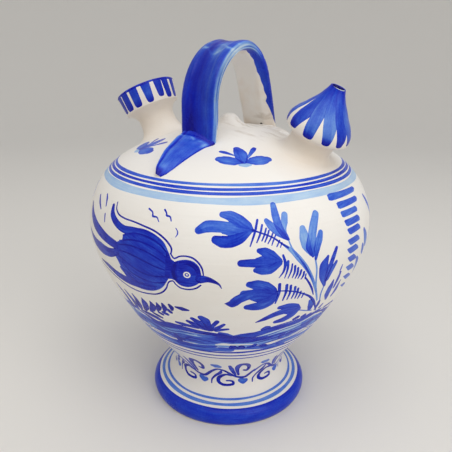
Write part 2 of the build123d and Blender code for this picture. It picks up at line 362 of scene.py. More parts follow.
def smoothRow(rows, step):
    # a smooth run through the points, about one sample for each step
    rows = np.array(rows, float)
    gaps = np.maximum(np.hypot(*np.diff(rows[:, :2], axis=0).T), 1e-6)
    along = np.concatenate([[0], np.cumsum(gaps)])
    if len(rows) > 2:
        slope = np.gradient(rows, along, axis=0)
    else:
        slope = np.repeat(np.diff(rows, axis=0) / gaps[0], 2, axis=0)
    count = max(int(ceil(along[-1] / step)), 2 * (len(rows) - 1), 2)
    at = np.union1d(np.linspace(0, along[-1], count + 1), along)
    k = np.clip(np.searchsorted(along, at, "right") - 1, 0, len(rows) - 2)
    h = gaps[k][:, None]
    x = ((at - along[k]) / gaps[k])[:, None]
    a, b, m, n = rows[k], rows[k + 1], slope[k], slope[k + 1]
    path = (2 * x**3 - 3 * x**2 + 1) * a + (x**3 - 2 * x**2 + x) * h * m
    path += (3 * x**2 - 2 * x**3) * b + (x**3 - x**2) * h * n
    if rows.shape[1] > 2:
        path[:, 2] = np.maximum((1 - x[:, 0]) * a[:, 2] + x[:, 0] * b[:, 2], brushwork["thinnest"])
    return path


class Outline:
    # (radius, height) in mm, turned about the upright axis; t is the distance along it
    def __init__(self, rows):
        self.outline = np.array(rows, float)
        steps = np.hypot(*np.diff(self.outline, axis=0).T)
        self.t = np.concatenate([[0], np.cumsum(steps)])

    def radius(self, t):
        return np.interp(t, self.t, self.outline[:, 0])

    def height(self, t):
        return np.interp(t, self.t, self.outline[:, 1])

    def swept(self, turn, t):
        r = self.radius(t)
        return np.column_stack([r * np.sin(turn), -r * np.cos(turn), self.height(t)]) * mm


class Sheet(Outline):
    # a turned wall, unrolled at one radius to a flat sheet of (around, up)
    def __init__(self, rows, seam, unrolled):
        super().__init__(rows)
        self.unrolled = unrolled
        self.low = radians(seam) * unrolled
        self.high = radians(seam + 360) * unrolled

    def climb(self, z):
        z = np.array(z, float)
        inside = np.interp(z, self.outline[:, 1], self.t)
        return inside + np.minimum(z - self.outline[0, 1], 0) + np.maximum(z - self.outline[-1, 1], 0)

    def flat(self, rows):
        rows = np.array(rows, float)
        rows[:, 0] = np.radians(rows[:, 0]) * self.unrolled
        return rows

    def stretch(self, t):
        return np.maximum(self.radius(t), 1.0) / self.unrolled

    def solid(self, flat):
        return self.swept(flat[:, 0] / self.unrolled, flat[:, 1])


class Disc(Outline):
    # the dome, laid flat about its crown at its distance along the outline
    def stretch(self, t):
        return np.ones_like(t)

    def reach(self, radius):
        return np.interp(radius, self.outline[:, 0], self.t)

    def flat(self, rows):
        rows = np.array(rows, float)
        turn = np.radians(rows[:, 0])
        rows[:, 0], rows[:, 1] = rows[:, 1] * np.sin(turn), -rows[:, 1] * np.cos(turn)
        return rows

    def solid(self, flat):
        return self.swept(np.arctan2(flat[:, 0], -flat[:, 1]), np.hypot(flat[:, 0], flat[:, 1]))


class Loops:
    # points and edges that the triangulation keeps
    def __init__(self):
        self.points, self.edges = [], []

    def add(self, loop, closed=True):
        first = len(self.points)
        self.points.extend(map(tuple, loop))
        self.edges.extend((first + k, first + k + 1) for k in range(len(loop) - 1))
        if closed:
            self.edges.append((first + len(loop) - 1, first))


def pointTree(points):
    tree = KDTree(max(len(points), 1))
    for k, point in enumerate(points):
        tree.insert((point[0], point[1], 0), k)
    tree.balance()
    return tree


def densify(loop, step):
    out = []
    for a, b in zip(loop[:-1], loop[1:]):
        count = max(int(hypot(*(b - a)[:2]) / step), 1)
        out += [a + (b - a) * k / count for k in range(count)]
    return np.array(out)[:, :2]


def meanStretch(sheet, path):
    # a stroke's own sideways scale
    return sheet.stretch(path[:, 1]).mean()


def strokeEdge(path, k, closed=False):
    # the outline of a stroke with round ends, in the flat plane
    true = np.column_stack([path[:, 0] * k, path[:, 1]])
    ahead = np.gradient(true, axis=0)
    ahead /= np.maximum(np.hypot(*ahead.T), 1e-9)[:, None]
    side = np.column_stack([-ahead[:, 1], ahead[:, 0]])
    half = path[:, 2:3] / 2
    squeeze = np.array([1 / k, 1])
    left = path[:, :2] + side * half * squeeze
    right = path[:, :2] - side * half * squeeze
    if closed:
        return [left, right]
    turns = np.radians(np.linspace(90, -90, brushwork["capSteps"]))[1:-1, None]
    endCap = path[-1, :2] + (np.cos(turns) * ahead[-1] + np.sin(turns) * side[-1]) * half[-1] * squeeze
    startCap = path[0, :2] - (np.cos(turns) * ahead[0] + np.sin(turns) * side[0]) * half[0] * squeeze
    return [np.vstack([left, endCap, right[::-1], startCap])]


def insideLoop(points, loop):
    nextLoop = np.roll(loop, -1, axis=0)
    hit = np.zeros(len(points), bool)
    for (x0, y0), (x1, y1) in zip(loop, nextLoop):
        crosses = (y0 > points[:, 1]) != (y1 > points[:, 1])
        rise = y1 - y0 if y1 != y0 else 1e-12
        hit ^= crosses & (points[:, 0] < (x1 - x0) * (points[:, 1] - y0) / rise + x0)
    return hit


def brushAt(points, path, k):
    # along, across and share of the half width, from the nearest place on the stroke's middle
    scale = np.array([k, 1])
    p, a, b = points * scale, path[:-1, :2] * scale, path[1:, :2] * scale
    run = b - a
    length = np.maximum(np.hypot(*run.T), 1e-9)
    start = np.concatenate([[0], np.cumsum(length)[:-1]])
    best = np.full(len(p), 1e9)
    out = np.zeros((len(p), 3))
    for i in range(len(a)):
        share = np.clip(((p - a[i]) @ run[i]) / length[i]**2, 0, 1)
        gap = p - (a[i] + share[:, None] * run[i])
        distance = np.hypot(*gap.T)
        nearer = distance < best
        best = np.where(nearer, distance, best)
        turn = run[i, 0] * gap[:, 1] - run[i, 1] * gap[:, 0]
        half = ((1 - share) * path[i, 2] + share * path[i + 1, 2]) / 2
        row = np.column_stack([start[i] + share * length[i], np.sign(turn) * distance,
                               distance / np.maximum(half, 1e-6)])
        out[nearer] = row[nearer]
    return out


def layStrokes(sheet, strokes, fineness, loops):
    # adds every stroke's edge to the loops; gives its middle line, or a blob's outline and centre
    laid = []
    for stroke in strokes:
        rows = sheet.flat(stroke["rows"])
        if stroke["kind"] == "blob":
            loop = np.vstack([rows, rows[:1]])
            loop = densify(loop, fineness) if stroke.get("straight") else smoothRow(loop, fineness)[:-1, :2]
            loops.add(loop)
            laid.append((loop, loop.mean(axis=0)))
            continue
        isRing = stroke["kind"] == "circle"
        path = rows if isRing else smoothRow(rows, fineness)
        for loop in strokeEdge(path, meanStretch(sheet, path), isRing):
            if isRing and stroke["ring"]:
                loops.add(loop[:-1])
            else:
                loops.add(loop, not isRing)
        laid.append((path, None))
    return laid


def coveredFaces(sheet, path, middle, centre):
    # the faces whose centre lies under a stroke
    low, high = path[:, :2].min(axis=0), path[:, :2].max(axis=0)
    pad = brushwork["linePad"] if middle is None else brushwork["blobPad"]
    near = np.flatnonzero(np.all((centre > low - pad) & (centre < high + pad), axis=1))
    if middle is None:
        return near[brushAt(centre[near], path, meanStretch(sheet, path))[:, 2] < 1]
    return near[insideLoop(centre[near], path)]


def brushLoad(sheet, stroke, path, middle, corners):
    # the tone at each corner, and its place in the stroke
    if middle is None:
        measure = brushAt(corners, path, meanStretch(sheet, path))
    else:
        lean = radians(stroke["lean"])
        away = (corners - middle) * np.array([sheet.stretch(middle[1]), 1])
        measure = np.column_stack([away @ (cos(lean), sin(lean)),
                                   away @ (-sin(lean), cos(lean)), np.zeros(len(away))])
    if "tones" in stroke:  # by height
        return np.interp(corners[:, 1], *np.array(stroke["tones"]).T), measure
    share = measure[:, 0] / max(measure[:, 0].max(), 1e-6)
    return np.interp(share, np.linspace(0, 1, len(stroke["tone"])), stroke["tone"]), measure


def laidOver(stroke, under, tone):
    # a stroke wipes what lies under it, runs together with it while wet, or gains a little from it
    if stroke.get("over"):
        return tone
    most = np.maximum(under, tone)
    if stroke.get("wet"):
        return most
    gained = most + brushwork["overlap"] * np.minimum(under, tone)
    return np.minimum(gained, np.maximum(most, brushwork["fullest"]))


def paint(sheet, strokes, border, grid, gap, holes, keep, fineness):
    # triangulates the flat sheet along every stroke's edge and gives each triangle its paint
    loops = Loops()
    laid = layStrokes(sheet, strokes, fineness, loops)
    tree = pointTree(loops.points)
    for loop, closed in border:
        loops.add(loop, closed)
    for hole in holes:
        loops.add(hole)
    loops.points += [tuple(p) for p in grid if not laid or tree.find((*p, 0))[2] > gap]
    verts, _, faces, _, _, _ = delaunay_2d_cdt([Vector(p) for p in loops.points], loops.edges, [], 0,
                                               brushwork["merge"], False)
    flat = np.array([v[:] for v in verts])
    faces = np.array([f[:] for f in faces])
    centre = flat[faces].mean(axis=1)
    wanted = keep(centre)
    for hole in holes:
        wanted &= ~insideLoop(centre, hole)
    faces, centre = faces[wanted], centre[wanted]
    load = np.zeros((len(faces), 3))
    brush = np.zeros((len(faces), 3, 3))
    for number, (stroke, (path, middle)) in enumerate(zip(strokes, laid)):
        near = coveredFaces(sheet, path, middle, centre)
        if len(near) == 0:
            continue
        tone, measure = brushLoad(sheet, stroke, path, middle, flat[faces[near]].reshape(-1, 2))
        measure[:, :2] += np.array(brushwork["apart"]) * number
        measure[:, 2] = np.clip(measure[:, 2], 0, 1)
        load[near] = laidOver(stroke, load[near], tone.reshape(-1, 3))
        brush[near] = measure.reshape(-1, 3, 3)
    return flat, faces, load, brush


def addPaint(mesh, load, brush):
    tones = mesh.attributes.new("cobalt", "FLOAT", "CORNER")
    tones.data.foreach_set("value", np.array(load, np.float32).ravel())
    marks = mesh.attributes.new("brush", "FLOAT_VECTOR", "CORNER")
    marks.data.foreach_set("vector", np.array(brush, np.float32).ravel())


def addBakeMap(mesh, uv):
    layer = mesh.uv_layers.new(name="OFBake")
    layer.data.foreach_set("uv", np.array(uv, np.float32).ravel())


def skinMesh(name, solid, faces, load, brush, uv):
    mesh = bpy.data.meshes.new(name)
    mesh.from_pydata(solid.tolist(), [], faces.tolist())
    addPaint(mesh, load, brush)
    addBakeMap(mesh, uv)
    mesh.update()
    return mesh


# Shared ways to draw on, close, smooth and dress a piece

weld = {"doubles": 2e-6, "slivers": 1e-7, "ringSlack": 0.01}
hiddenStrip = {"up": 0.965, "spread": 0.03, "turns": 60}  # where the bake map keeps hidden walls


def openRing(bm, height):
    low, high = (height - weld["ringSlack"]) * mm, (height + weld["ringSlack"]) * mm
    return [e for e in bm.edges if e.is_boundary and all(low < v.co.z < high for v in e.verts)]


def carryRing(bm, ring, rows):
    # draws a ring of edges on along rows of (radius, height) about the upright axis
    for radius, height in rows:
        moved = bmesh.ops.extrude_edge_only(bm, edges=ring)["geom"]
        ring = [g for g in moved if isinstance(g, bmesh.types.BMEdge) and g.is_boundary]
        for vert in {v for e in ring for v in e.verts}:
            turn = atan2(vert.co.x, -vert.co.y)
            vert.co = Vector((radius * sin(turn), -radius * cos(turn), height)) * mm
    return ring


def weldedMesh(mesh):
    bm = bmesh.new()
    bm.from_mesh(mesh)
    bmesh.ops.remove_doubles(bm, verts=bm.verts, dist=weld["doubles"])
    return bm


def keepMesh(bm, mesh):
    bmesh.ops.recalc_face_normals(bm, faces=bm.faces)
    bm.to_mesh(mesh)
    bm.free()


def bakeStrip(bm, first):
    # the faces from the given one on are hidden walls, which share a strip of the bake map
    bm.faces.index_update()
    uv = bm.loops.layers.uv["OFBake"]
    for face in bm.faces:
        if face.index < first:
            continue
        for loop in face.loops:
            turn = atan2(loop.vert.co.x, -loop.vert.co.y) / tau + 0.5
            sway = sin(loop.vert.co.z * hiddenStrip["turns"])
            loop[uv].uv = (turn, hiddenStrip["up"] + hiddenStrip["spread"] * sway)


def addPiece(name, mesh):
    piece = bpy.data.objects.new(name, mesh)
    bpy.context.scene.collection.objects.link(piece)
    return piece


def dress(piece, node, material, angle):
    # smooth shading up to the angle, one material, and what the piece stands for
    deselectAll()
    piece.select_set(True)
    bpy.context.view_layer.objects.active = piece
    bpy.ops.object.shade_smooth_by_angle(angle=radians(angle))
    piece.data.materials.clear()
    piece.data.materials.append(material)
    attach(piece, "root")
    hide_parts(node)


# The vessel's outline is read off the frame, so the painted skin lies where the solid is

shape = {"waist": 23.0, "waistRadius": 34.2, "seam": 144.2, "seamRadius": 66.8, "floor": 29.0,
         "seamTurn": -66.0}
rays = {"beside": 0.12, "above": 0.3, "near": 0.05}  # how far off a ray starts


def cast(node, starts, way):
    # whether each ray meets the node, and where
    return [nodes[node].ray_cast(Vector(start), Vector(way))[:2] for start in starts]


def readOutline(node, heights):
    hits = cast(node, [(0, -rays["beside"], z * mm) for z in heights], (0, 1, 0))
    return [(-place.y / mm, z) for z, (hit, place) in zip(heights, hits) if hit]


def readDome(radii):
    hits = cast("shoulder_dome", [(0, -r * mm, rays["above"]) for r in radii], (0, 0, -1))
    return [(r, place.z / mm) for r, (hit, place) in zip(radii, hits) if hit]


# Ways to write a stroke down

def toneRow(tone):
    return tone if isinstance(tone, tuple) else (tone,)


def leaf(tone, *rows, **more):
    return {"kind": "stroke", "tone": toneRow(tone), "rows": rows, **more}


def blob(tone, *rows, lean=0, **more):
    return {"kind": "blob", "tone": toneRow(tone), "rows": rows, "lean": lean, **more}


def circle(tone, up, width, seam=None, shake=0.12, wobble=1.0):
    # a line right round, laid on the turning wheel; without a seam it is a closed ring
    lap, step = wheel["lap"], wheel["step"]
    turns = np.arange(0, 361, step) if seam is None else seam + np.arange(-lap, 361 + lap, step)
    a = np.radians(turns)
    wave = shake * (np.sin(3 * a + up) + 0.6 * np.sin(7 * a + 2 * up))
    wide = width * (1 + wobble * (0.1 * np.sin(5 * a + up) + 0.07 * np.sin(11 * a)))
    rows = np.column_stack([turns, up + wave, wide])
    return {"kind": "circle", "ring": seam is None, "tone": toneRow(tone), "rows": rows}


def turned(strokes, turn):
    return [{**s, "rows": [(around + turn, *rest) for around, *rest in s["rows"]]} for s in strokes]


def climbed(strokes, sheet):
    # heights become distances along the sheet's outline
    out = []
    for stroke in strokes:
        rows = np.array(stroke["rows"], float)
        rows[:, 1] = sheet.climb(rows[:, 1])
        out.append({**stroke, "rows": rows})
    return out


# The painting on the belly, as the brush laid it

bird = [
    blob(0.93, (-13.5, 113.8), (-11.8, 117.4), (-8.6, 119.7), (-8.4, 121.6), (-6.4, 124.1), (-3.1, 126.7),
         (2, 127.1), (6.4, 125.5), (9.3, 123.2), (11.1, 119.5), (12.1, 116.4), (12.7, 113.7), (12.2, 110.4),
         (11.1, 106.5), (9.9, 103.7), (7.2, 99.1), (3.4, 96.1), (-1.7, 94.9), (-6.1, 95.5), (-8.6, 98.2),
         (-10.6, 103.4), (-12.4, 108.4), (-13.7, 110.6), lean=-20),
    leaf(0.95, (-17.6, 133.1, 2.2), (-16.4, 129.4, 3.7), (-13.2, 126.6, 3.8), (-8.4, 124.8, 3.8),
         (-3.7, 125.2, 3.9), (1.9, 125.2, 3.3), (6.5, 123.8, 2.6), wet=True),
    leaf((1.1, 1.0), (-38.9, 128.1, 1.6), (-35.4, 124.2, 4.4), (-29.9, 120.6, 5.8), (-22.3, 117.9, 5.6),
         (-16.8, 116.5, 4.8), (-12.4, 115.7, 4.4), wet=True),
    leaf((1.1, 1.0, 1.05), (-38, 114.1, 2), (-31.4, 110.5, 5.5), (-22.9, 109.5, 6.5), (-16.7, 110, 5.1),
         (-11.8, 112.2, 3.6), wet=True),
    leaf((1.1, 0.98), (-27.7, 101.1, 1.2), (-21, 100, 3.8), (-15.1, 98, 4.7), (-9, 97.2, 5),
         (-2.2, 97.4, 4.4), (3.4, 98, 3.5), wet=True),
    leaf((1.05, 0.95), (-11.2, 104, 1.5), (-9.2, 102.4, 3.6), (-6.9, 100.3, 5.8), (-4.4, 98.9, 5.5),
         wet=True),
    *[leaf((1.0, 1.08, 1.0), *[(a, u, 0.8) for a, u in rows], wet=True) for rows in (
        ((-8.3, 121.9), (-2.9, 124.4), (3.2, 124.1), (8.3, 121.4), (11.4, 117.6)),
        ((-10, 118.7), (-3.8, 121), (2.9, 120.8), (7.8, 118.5), (11.8, 114.4)),
        ((-12, 116.2), (-5, 118), (1.3, 117.5), (6.8, 115.3), (11.7, 112)),
        ((-12.1, 113.7), (-6.4, 114), (-0.1, 112.7), (5.5, 110.8), (11.2, 109.4)),
        ((-11.6, 111), (-7, 108.8), (-2.1, 106.1), (3.8, 105.1), (10.1, 106.3)),
        ((-9.4, 107.8), (-5.9, 103.9), (-1, 101.9), (4.3, 101.4), (9, 102.9)),
        ((-7.8, 102.3), (-4.4, 98.9), (0, 98.2), (5.1, 99.3)))],
    blob(1.0, (10.4, 118.6), (12.3, 115.9), (13.6, 114.6), (14, 110), (13.4, 104.9), (12, 105.6),
         (10.4, 105.4), (10, 112)),
    blob(1.0, (12.5, 113.1), (13.6, 114.9), (15.6, 116), (17.8, 116.5), (19.9, 115.9), (21.6, 113.9),
         (22.3, 110.8), (22.3, 107.5), (21.4, 105), (19.7, 103.3), (17.2, 102.2), (15, 102.7),
         (13.3, 104.5), (12.3, 107.1), (12.1, 110.4)),
    leaf((1.1, 1.25, 1.1), (14.2, 114.6, 1.2), (12.9, 111.6, 1.9), (12.8, 107.6, 1.9), (14, 104.4, 1.2),
         wet=True),
    leaf((1.05, 1.2, 1.1), (15.4, 114.6, 1.4), (18, 115, 2.2), (20.5, 113.2, 2.4), (21.6, 109.8, 1.8),
         wet=True),
    leaf((1.0, 1.05), (21.9, 107.3, 4.6), (24.4, 107.4, 3.1), (26.5, 106.4, 2), (28.2, 104.9, 1),
         (29, 102.8, 0.4)),
    leaf(1.05, (-15.8, 135.1, 0.78), (-14.9, 132.3, 0.91), (-12.9, 130.5, 0.91), (-9.3, 129.6, 0.78),
         (-4.2, 129.3, 0.78), (0.7, 128.5, 0.85), (5.1, 127.4, 0.91), (8.4, 125.6, 0.91),
         (10.9, 123.2, 0.98), (12.3, 120.6, 0.91), (12.2, 118.7, 0.78)),
    leaf(1.05, (12, 118.5, 0.78), (13.3, 116.4, 0.78), (15.2, 117.7, 0.72), (17.4, 118.1, 0.78),
         (19.5, 117.6, 0.91), (21.4, 115.7, 0.91), (22.7, 112.8, 0.91), (23.1, 109.6, 0.65)),
    leaf(1.05, (22, 104, 0.78), (20.6, 102.3, 0.91), (17.6, 100.9, 0.91), (14.8, 101.2, 0.91),
         (13.1, 103, 0.78), (12.3, 104.6, 0.78), (10.8, 103.8, 0.78), (10.1, 102.4, 0.65),
         (9.4, 100.2, 0.78), (7.3, 96.8, 0.91), (4.1, 94.3, 0.91), (0.2, 93, 0.91), (-4.6, 92.3, 0.91),
         (-9.6, 92.6, 0.91), (-14.6, 94, 0.91), (-21.5, 96.3, 0.91), (-30, 98.6, 0.78)),
    leaf(0.0, (17.4, 108.9, 3.3), (17.6, 108.9, 3.3), over=True),
    leaf(1.0, (17.4, 108.9, 1.9), (17.6, 108.9, 1.9), over=True),
    leaf(0.0, (17.45, 109, 0.8), (17.6, 109, 0.8), over=True)]
skyMarks = [leaf(tone, *rows) for tone, *rows in (
    (0.85, (1.2, 136, 0.9), (3.2, 134.7, 0.7), (3.6, 133.3, 1.1), (5.2, 133.2, 0.7), (6.4, 131.5, 0.5)),
    (0.85, (7.8, 136.6, 1), (8.8, 135.3, 0.7), (9, 134.5, 1.1), (10.3, 134.2, 0.8), (11.1, 132.5, 0.6)),
    (0.8, (13.2, 129.8, 0.4), (14, 128.4, 0.6), (14, 127.3, 0.6), (13.4, 126, 0.3)),
    (0.85, (-32, 134, 1.2), (-29.8, 131.6, 1.8), (-26.4, 128.9, 1)),
    (0.85, (-25.7, 136.2, 1), (-24.1, 134.4, 1.6), (-22.8, 131.4, 0.9)),
    (0.8, (-21.7, 127.8, 1.2), (-20.8, 124.4, 0.9)),
    (0.6, (-49, 137.5, 1.6), (-46.2, 132, 1.8), (-45, 129, 0.8)))]
grass = [leaf(tone, *rows) for tone, *rows in (
    ((1.0, 0.47), (-22, 87.4, 1.4), (-19.2, 83.4, 3.3), (-18.9, 77.8, 3.7), (-19.8, 71.9, 2.9)),
    (1.1, (-22.4, 88.7, 1), (-19.7, 84.8, 2.3), (-18.3, 80.4, 3), (-16.8, 76.4, 2.4)),
    (1.1, (-16.2, 87.6, 1.3), (-14.8, 84.3, 3.1), (-13.6, 80.9, 4), (-13.8, 78.1, 3.3)),
    (1.1, (-11.1, 87.5, 1.1), (-10.2, 84.5, 3.3), (-10.2, 81.4, 4.7), (-10.6, 78.9, 4)),
    (1.1, (-5.4, 87.4, 1.1), (-5, 85, 4.3), (-5.8, 81.4, 4.7), (-7.4, 78.4, 2.4)),
    (1.1, (-1, 87.2, 1.2), (-0.6, 84.8, 4), (-2.2, 81.3, 3.7), (-3.8, 79.2, 1.4)),
    (1.1, (2.3, 87.6, 1.2), (2.6, 85.3, 3.6), (1.6, 83.1, 3), (0.9, 81.8, 1.4)),
    (1.1, (5.1, 88.3, 1.4), (5.4, 86, 3.5), (5, 84, 2.4), (4.2, 81.9, 1.1)),
    (1.1, (8.3, 88.6, 1.8), (8.8, 87.2, 3), (8.7, 85.4, 1.9)), (1.1, (6.9, 84.5, 2.4), (7.7, 83.4, 2.5)),
    (1.1, (3.8, 81.5, 2.4), (5.5, 81, 2.4)), (1.1, (1.3, 80.6, 2), (2.9, 79.7, 1.8)),
    (1.1, (-2.6, 78.6, 1.8), (-0.5, 77.7, 2.3), (1.5, 76.9, 1.8)),
    (1.1, (-10.8, 76.3, 1.8), (-7.3, 76, 2.6), (-4.1, 75.3, 2.5), (-1.4, 74.6, 2.4), (1.2, 73.9, 2.1)),
    (1.1, (10.9, 88, 1.4), (13.5, 87.5, 3.1), (15.9, 87.2, 1.3)))]
tulips = [leaf(tone, *rows, wet=True) for tone, *rows in (
    ((0.62, 0.7), (30, 130.8, 5), (33, 130.9, 8.6), (34.9, 130.5, 9.2)),
    ((0.74, 0.84), (41, 115.7, 5.5), (43.4, 115.7, 7.8), (45.2, 115.5, 8.2)),
    ((0.74, 0.74, 0.9), (36.6, 99.8, 4), (40.6, 98.6, 8), (42.8, 98, 9.8), (44.3, 97.8, 10.4)),
    (0.74, (53.6, 85.2, 4), (57, 84.7, 7), (59.6, 84.6, 4)),
    ((0.68, 0.74, 0.78), (29, 136.5, 2.9), (31.6, 136, 4.8), (34.7, 134, 5.7), (37.7, 131.4, 4.6),
     (39, 130.1, 2)),
    ((0.74, 0.64, 0.7), (21.2, 129.8, 3.6), (23.9, 131.5, 5.5), (27.4, 131.7, 5.3), (31.2, 131.3, 5.1),
     (35, 130.3, 4.1), (38.5, 129.7, 1.7)),
    ((0.9, 0.88, 0.78), (27, 126.2, 3.9), (29, 125.5, 5.4), (32, 125.6, 5.5), (35, 127, 4.9),
     (38.1, 129.4, 2.2)),
    (0.78, (41.1, 121.3, 2.4), (42.8, 120.6, 4.3), (45.1, 118.7, 4.9), (48, 116, 2.6)),
    ((0.95, 0.8), (35.2, 115.8, 3.3), (37.6, 115.8, 3.8), (40.5, 115.6, 4.3), (44.3, 115.3, 4.8),
     (48.4, 115.4, 2)),
    (0.8, (40.1, 112.2, 2.6), (42.1, 111.9, 4.4), (44.8, 112.3, 5.1), (48.1, 114.6, 2.6)),
    ((0.75, 0.8, 0.95), (38.2, 104.9, 3.4), (40.5, 104.4, 5.7), (43.7, 102.8, 6.1), (46.8, 100, 4.1),
     (47.9, 98.4, 2)),
    ((1.0, 0.8, 0.85), (30.2, 93.6, 0.8), (32.2, 93.6, 5.2), (35, 96.5, 5.4), (38.4, 98.7, 5.5),
     (42.4, 99.5, 5), (47.2, 98.3, 3.3)),
    ((0.9, 0.78, 0.85), (38.1, 91.1, 3.6), (40.2, 91.1, 5.2), (43.1, 91.6, 6.2), (45.8, 93.9, 6.6),
     (47.8, 97.3, 3.3)),
    (0.82, (50.9, 88.5, 2.7), (54.1, 88.4, 4.4), (58.1, 86.4, 5.2), (59.7, 85, 3.3)),
    ((0.95, 0.8), (42.4, 79.7, 0.7), (45.7, 81.6, 3), (49.6, 84, 4), (53.8, 85.3, 4.8), (58.3, 84.9, 4.6)),
    (0.85, (51.1, 78.1, 2.7), (54.3, 78.8, 4.4), (57.5, 81.1, 5), (59.7, 84.4, 4)),
    (0.8, (64.7, 88.5, 2.2), (66.4, 84.8, 4.4), (67.1, 81.5, 3)))]
stems = [leaf(tone, *rows) for tone, *rows in (
    (0.55, (60.6, 83.6, 0.8), (64.2, 81.7, 0.8), (68.8, 79.7, 0.8)),
    (0.9, (39.1, 130.2, 0.9), (40.8, 129.4, 0.8), (43, 128.3, 0.8), (46.1, 126.4, 0.8), (48.4, 124.1, 0.9),
     (51.1, 121.4, 0.8)),
    ((0.42, 0.52, 0.4), (48.9, 123.6, 0.8), (51.9, 120.4, 2), (54.8, 116, 2.6), (57.7, 111.2, 2.3),
     (60.9, 104.7, 1.8), (63.9, 97.9, 1.5), (68.9, 86.8, 1)),
    ((0.4, 0.7, 0.4), (54.4, 117.1, 0.6), (56.7, 112.9, 1.1), (59.6, 107, 0.9), (62.3, 101.2, 0.6)),
    (0.93, (58.2, 105.2, 0.8), (60.5, 101.3, 1.1), (62.8, 96.9, 1.2), (64.8, 92.4, 0.6)),
    (0.9, (47.9, 99.8, 0.7), (51.2, 99.2, 0.9), (55, 97.8, 0.9), (59.5, 94.9, 1), (62.9, 92.1, 1.3),
     (66.3, 88, 1.6), (69.7, 82.4, 1.2), (72.3, 78.1, 0.9)),
    (0.42, (51.2, 125.2, 0.7), (52.3, 121.4, 0.8), (54.4, 116.9, 1.2)),
    (0.42, (61.4, 114.5, 0.9), (62.7, 108.2, 1), (63.5, 102.1, 1), (65.8, 93.5, 0.9)),
    (0.5, (69, 95.9, 1), (69.1, 92.1, 1), (71, 85.3, 0.9)))]
barbs = [leaf(0.8, *rows) for rows in (
    ((41, 134.2, 1.1), (40, 129.7, 1.2), (38.2, 123.4, 0.6)),
    ((42.5, 132.1, 0.96), (41.7, 128.6, 1.1), (40.4, 124.9, 0.6)),
    ((43.8, 130.6, 0.84), (43.1, 128.1, 0.96), (42.1, 125.5, 0.6)),
    ((44.7, 129.6, 0.84), (43.9, 127, 0.96), (43.1, 124.9, 0.6)),
    ((46, 128.5, 0.72), (45.1, 126.2, 0.84), (44.1, 124.1, 0.48)),
    ((46.9, 127.5, 0.72), (46, 125.3, 0.84), (45.4, 123.3, 0.48)),
    ((48.1, 125.1, 0.84), (47.1, 122.5, 0.6)), ((48.9, 124, 0.72), (48.3, 122, 0.48)),
    ((49.2, 118.3, 1.1), (50, 114.3, 1.6), (49.6, 110.4, 1.2), (48.2, 107.3, 0.48)),
    ((51, 115.1, 1.4), (51, 111.6, 1.3), (50.2, 106.7, 0.48)),
    ((52.6, 113.5, 0.84), (52.4, 110.4, 1.1), (51.5, 106.4, 0.6)),
    ((53.7, 112.2, 1.3), (53.7, 109.2, 1.2), (53.1, 106.3, 0.6)),
    ((54.9, 111, 1.2), (54.8, 108, 1.3), (54.2, 105.6, 0.6)),
    ((56.2, 109.5, 1.2), (55.9, 107.2, 1.2), (55.3, 105.3, 0.6)),
    ((57.4, 108.3, 1.2), (57.3, 106.2, 1.2), (56.7, 104.6, 0.72)),
    ((58.3, 106.8, 0.96), (58.3, 104.3, 0.72)), ((48.7, 103.6, 1.6), (49, 99, 1.7), (48.5, 91.9, 0.84)),
    ((51.5, 102.5, 1.6), (51.7, 98.7, 1.6), (51.2, 93.3, 0.84)),
    ((53.1, 101.8, 1.4), (53.4, 97.9, 1.4), (52.9, 93.3, 0.72)),
    ((55, 100.5, 1.4), (55.2, 97.4, 1.4), (54.7, 93.5, 0.72)),
    ((56.4, 99.2, 1.3), (56.5, 96.1, 1.3), (56.2, 93.1, 0.72)),
    ((58, 96.9, 1.1), (57.9, 94.7, 1.2), (57.5, 92.6, 0.72)), ((59.6, 95.2, 1.2), (59.3, 92.6, 0.84)))]
lances = [leaf(tone, *rows) for tone, *rows in (
    ((0.55, 0.7), (44.1, 133.7, 2.3), (45.6, 131.5, 3.7), (48.2, 128.4, 3.7), (51, 125.3, 1.4)),
    ((0.55, 0.72), (47.4, 139.6, 2.9), (47.6, 135.6, 3.8), (48.4, 130.9, 3.6), (50.5, 126.4, 2.6),
     (51.4, 125.1, 1.1)),
    ((0.42, 0.5), (51, 135.4, 3.2), (50.5, 132.5, 3.4), (50.2, 129.7, 2), (50.6, 127.5, 0.96)),
    ((0.38, 0.42, 0.6), (57, 128.8, 3.4), (57.3, 125.2, 5.4), (57.9, 121.5, 5.2), (59.7, 116.7, 2)),
    ((0.5, 0.5, 0.85), (63.6, 133.9, 3.8), (61.8, 129.8, 4.6), (60.4, 125, 4.8), (59.6, 120, 5.5),
     (60.5, 115.6, 1.6)),
    ((0.5, 0.6, 0.8), (64.1, 125.6, 3.1), (63.3, 122.8, 4.1), (62.1, 118.3, 3.5), (61.8, 113.7, 1.4)),
    (0.8, (67.2, 113.3, 1.9), (66, 109.6, 5.8), (66.6, 103.6, 5.5), (69.2, 96.2, 1.7)),
    (0.8, (71.3, 116.3, 2.2), (70.1, 112.3, 3.1), (69, 106.6, 3.4), (68.7, 99.4, 2.6)),
    (0.72, (72, 108.7, 2.4), (70.5, 105.4, 3.4), (69.4, 100.1, 2.6)),
    (0.8, (73.9, 97.4, 1.2), (73.9, 93.4, 4.3), (74.2, 89.1, 4.8), (75.7, 84.4, 1.9)),
    (0.8, (76.9, 100.8, 1.7), (76.9, 96.3, 2.6), (76.9, 91.5, 1.9)),
    (0.7, (76.6, 105.3, 0.84), (76.3, 103.1, 1.4), (76.2, 101.3, 0.72)),
    (0.8, (80, 94.4, 1.1), (79.8, 91.1, 2.6), (80.2, 87.9, 3.6), (79.4, 84.8, 2.2)),
    (0.85, (71, 85.2, 1.8), (71.3, 82.3, 2.6), (71.2, 79.1, 1.4)),
    (0.85, (75.5, 80.9, 1.4), (74.5, 79.2, 2.3)))]
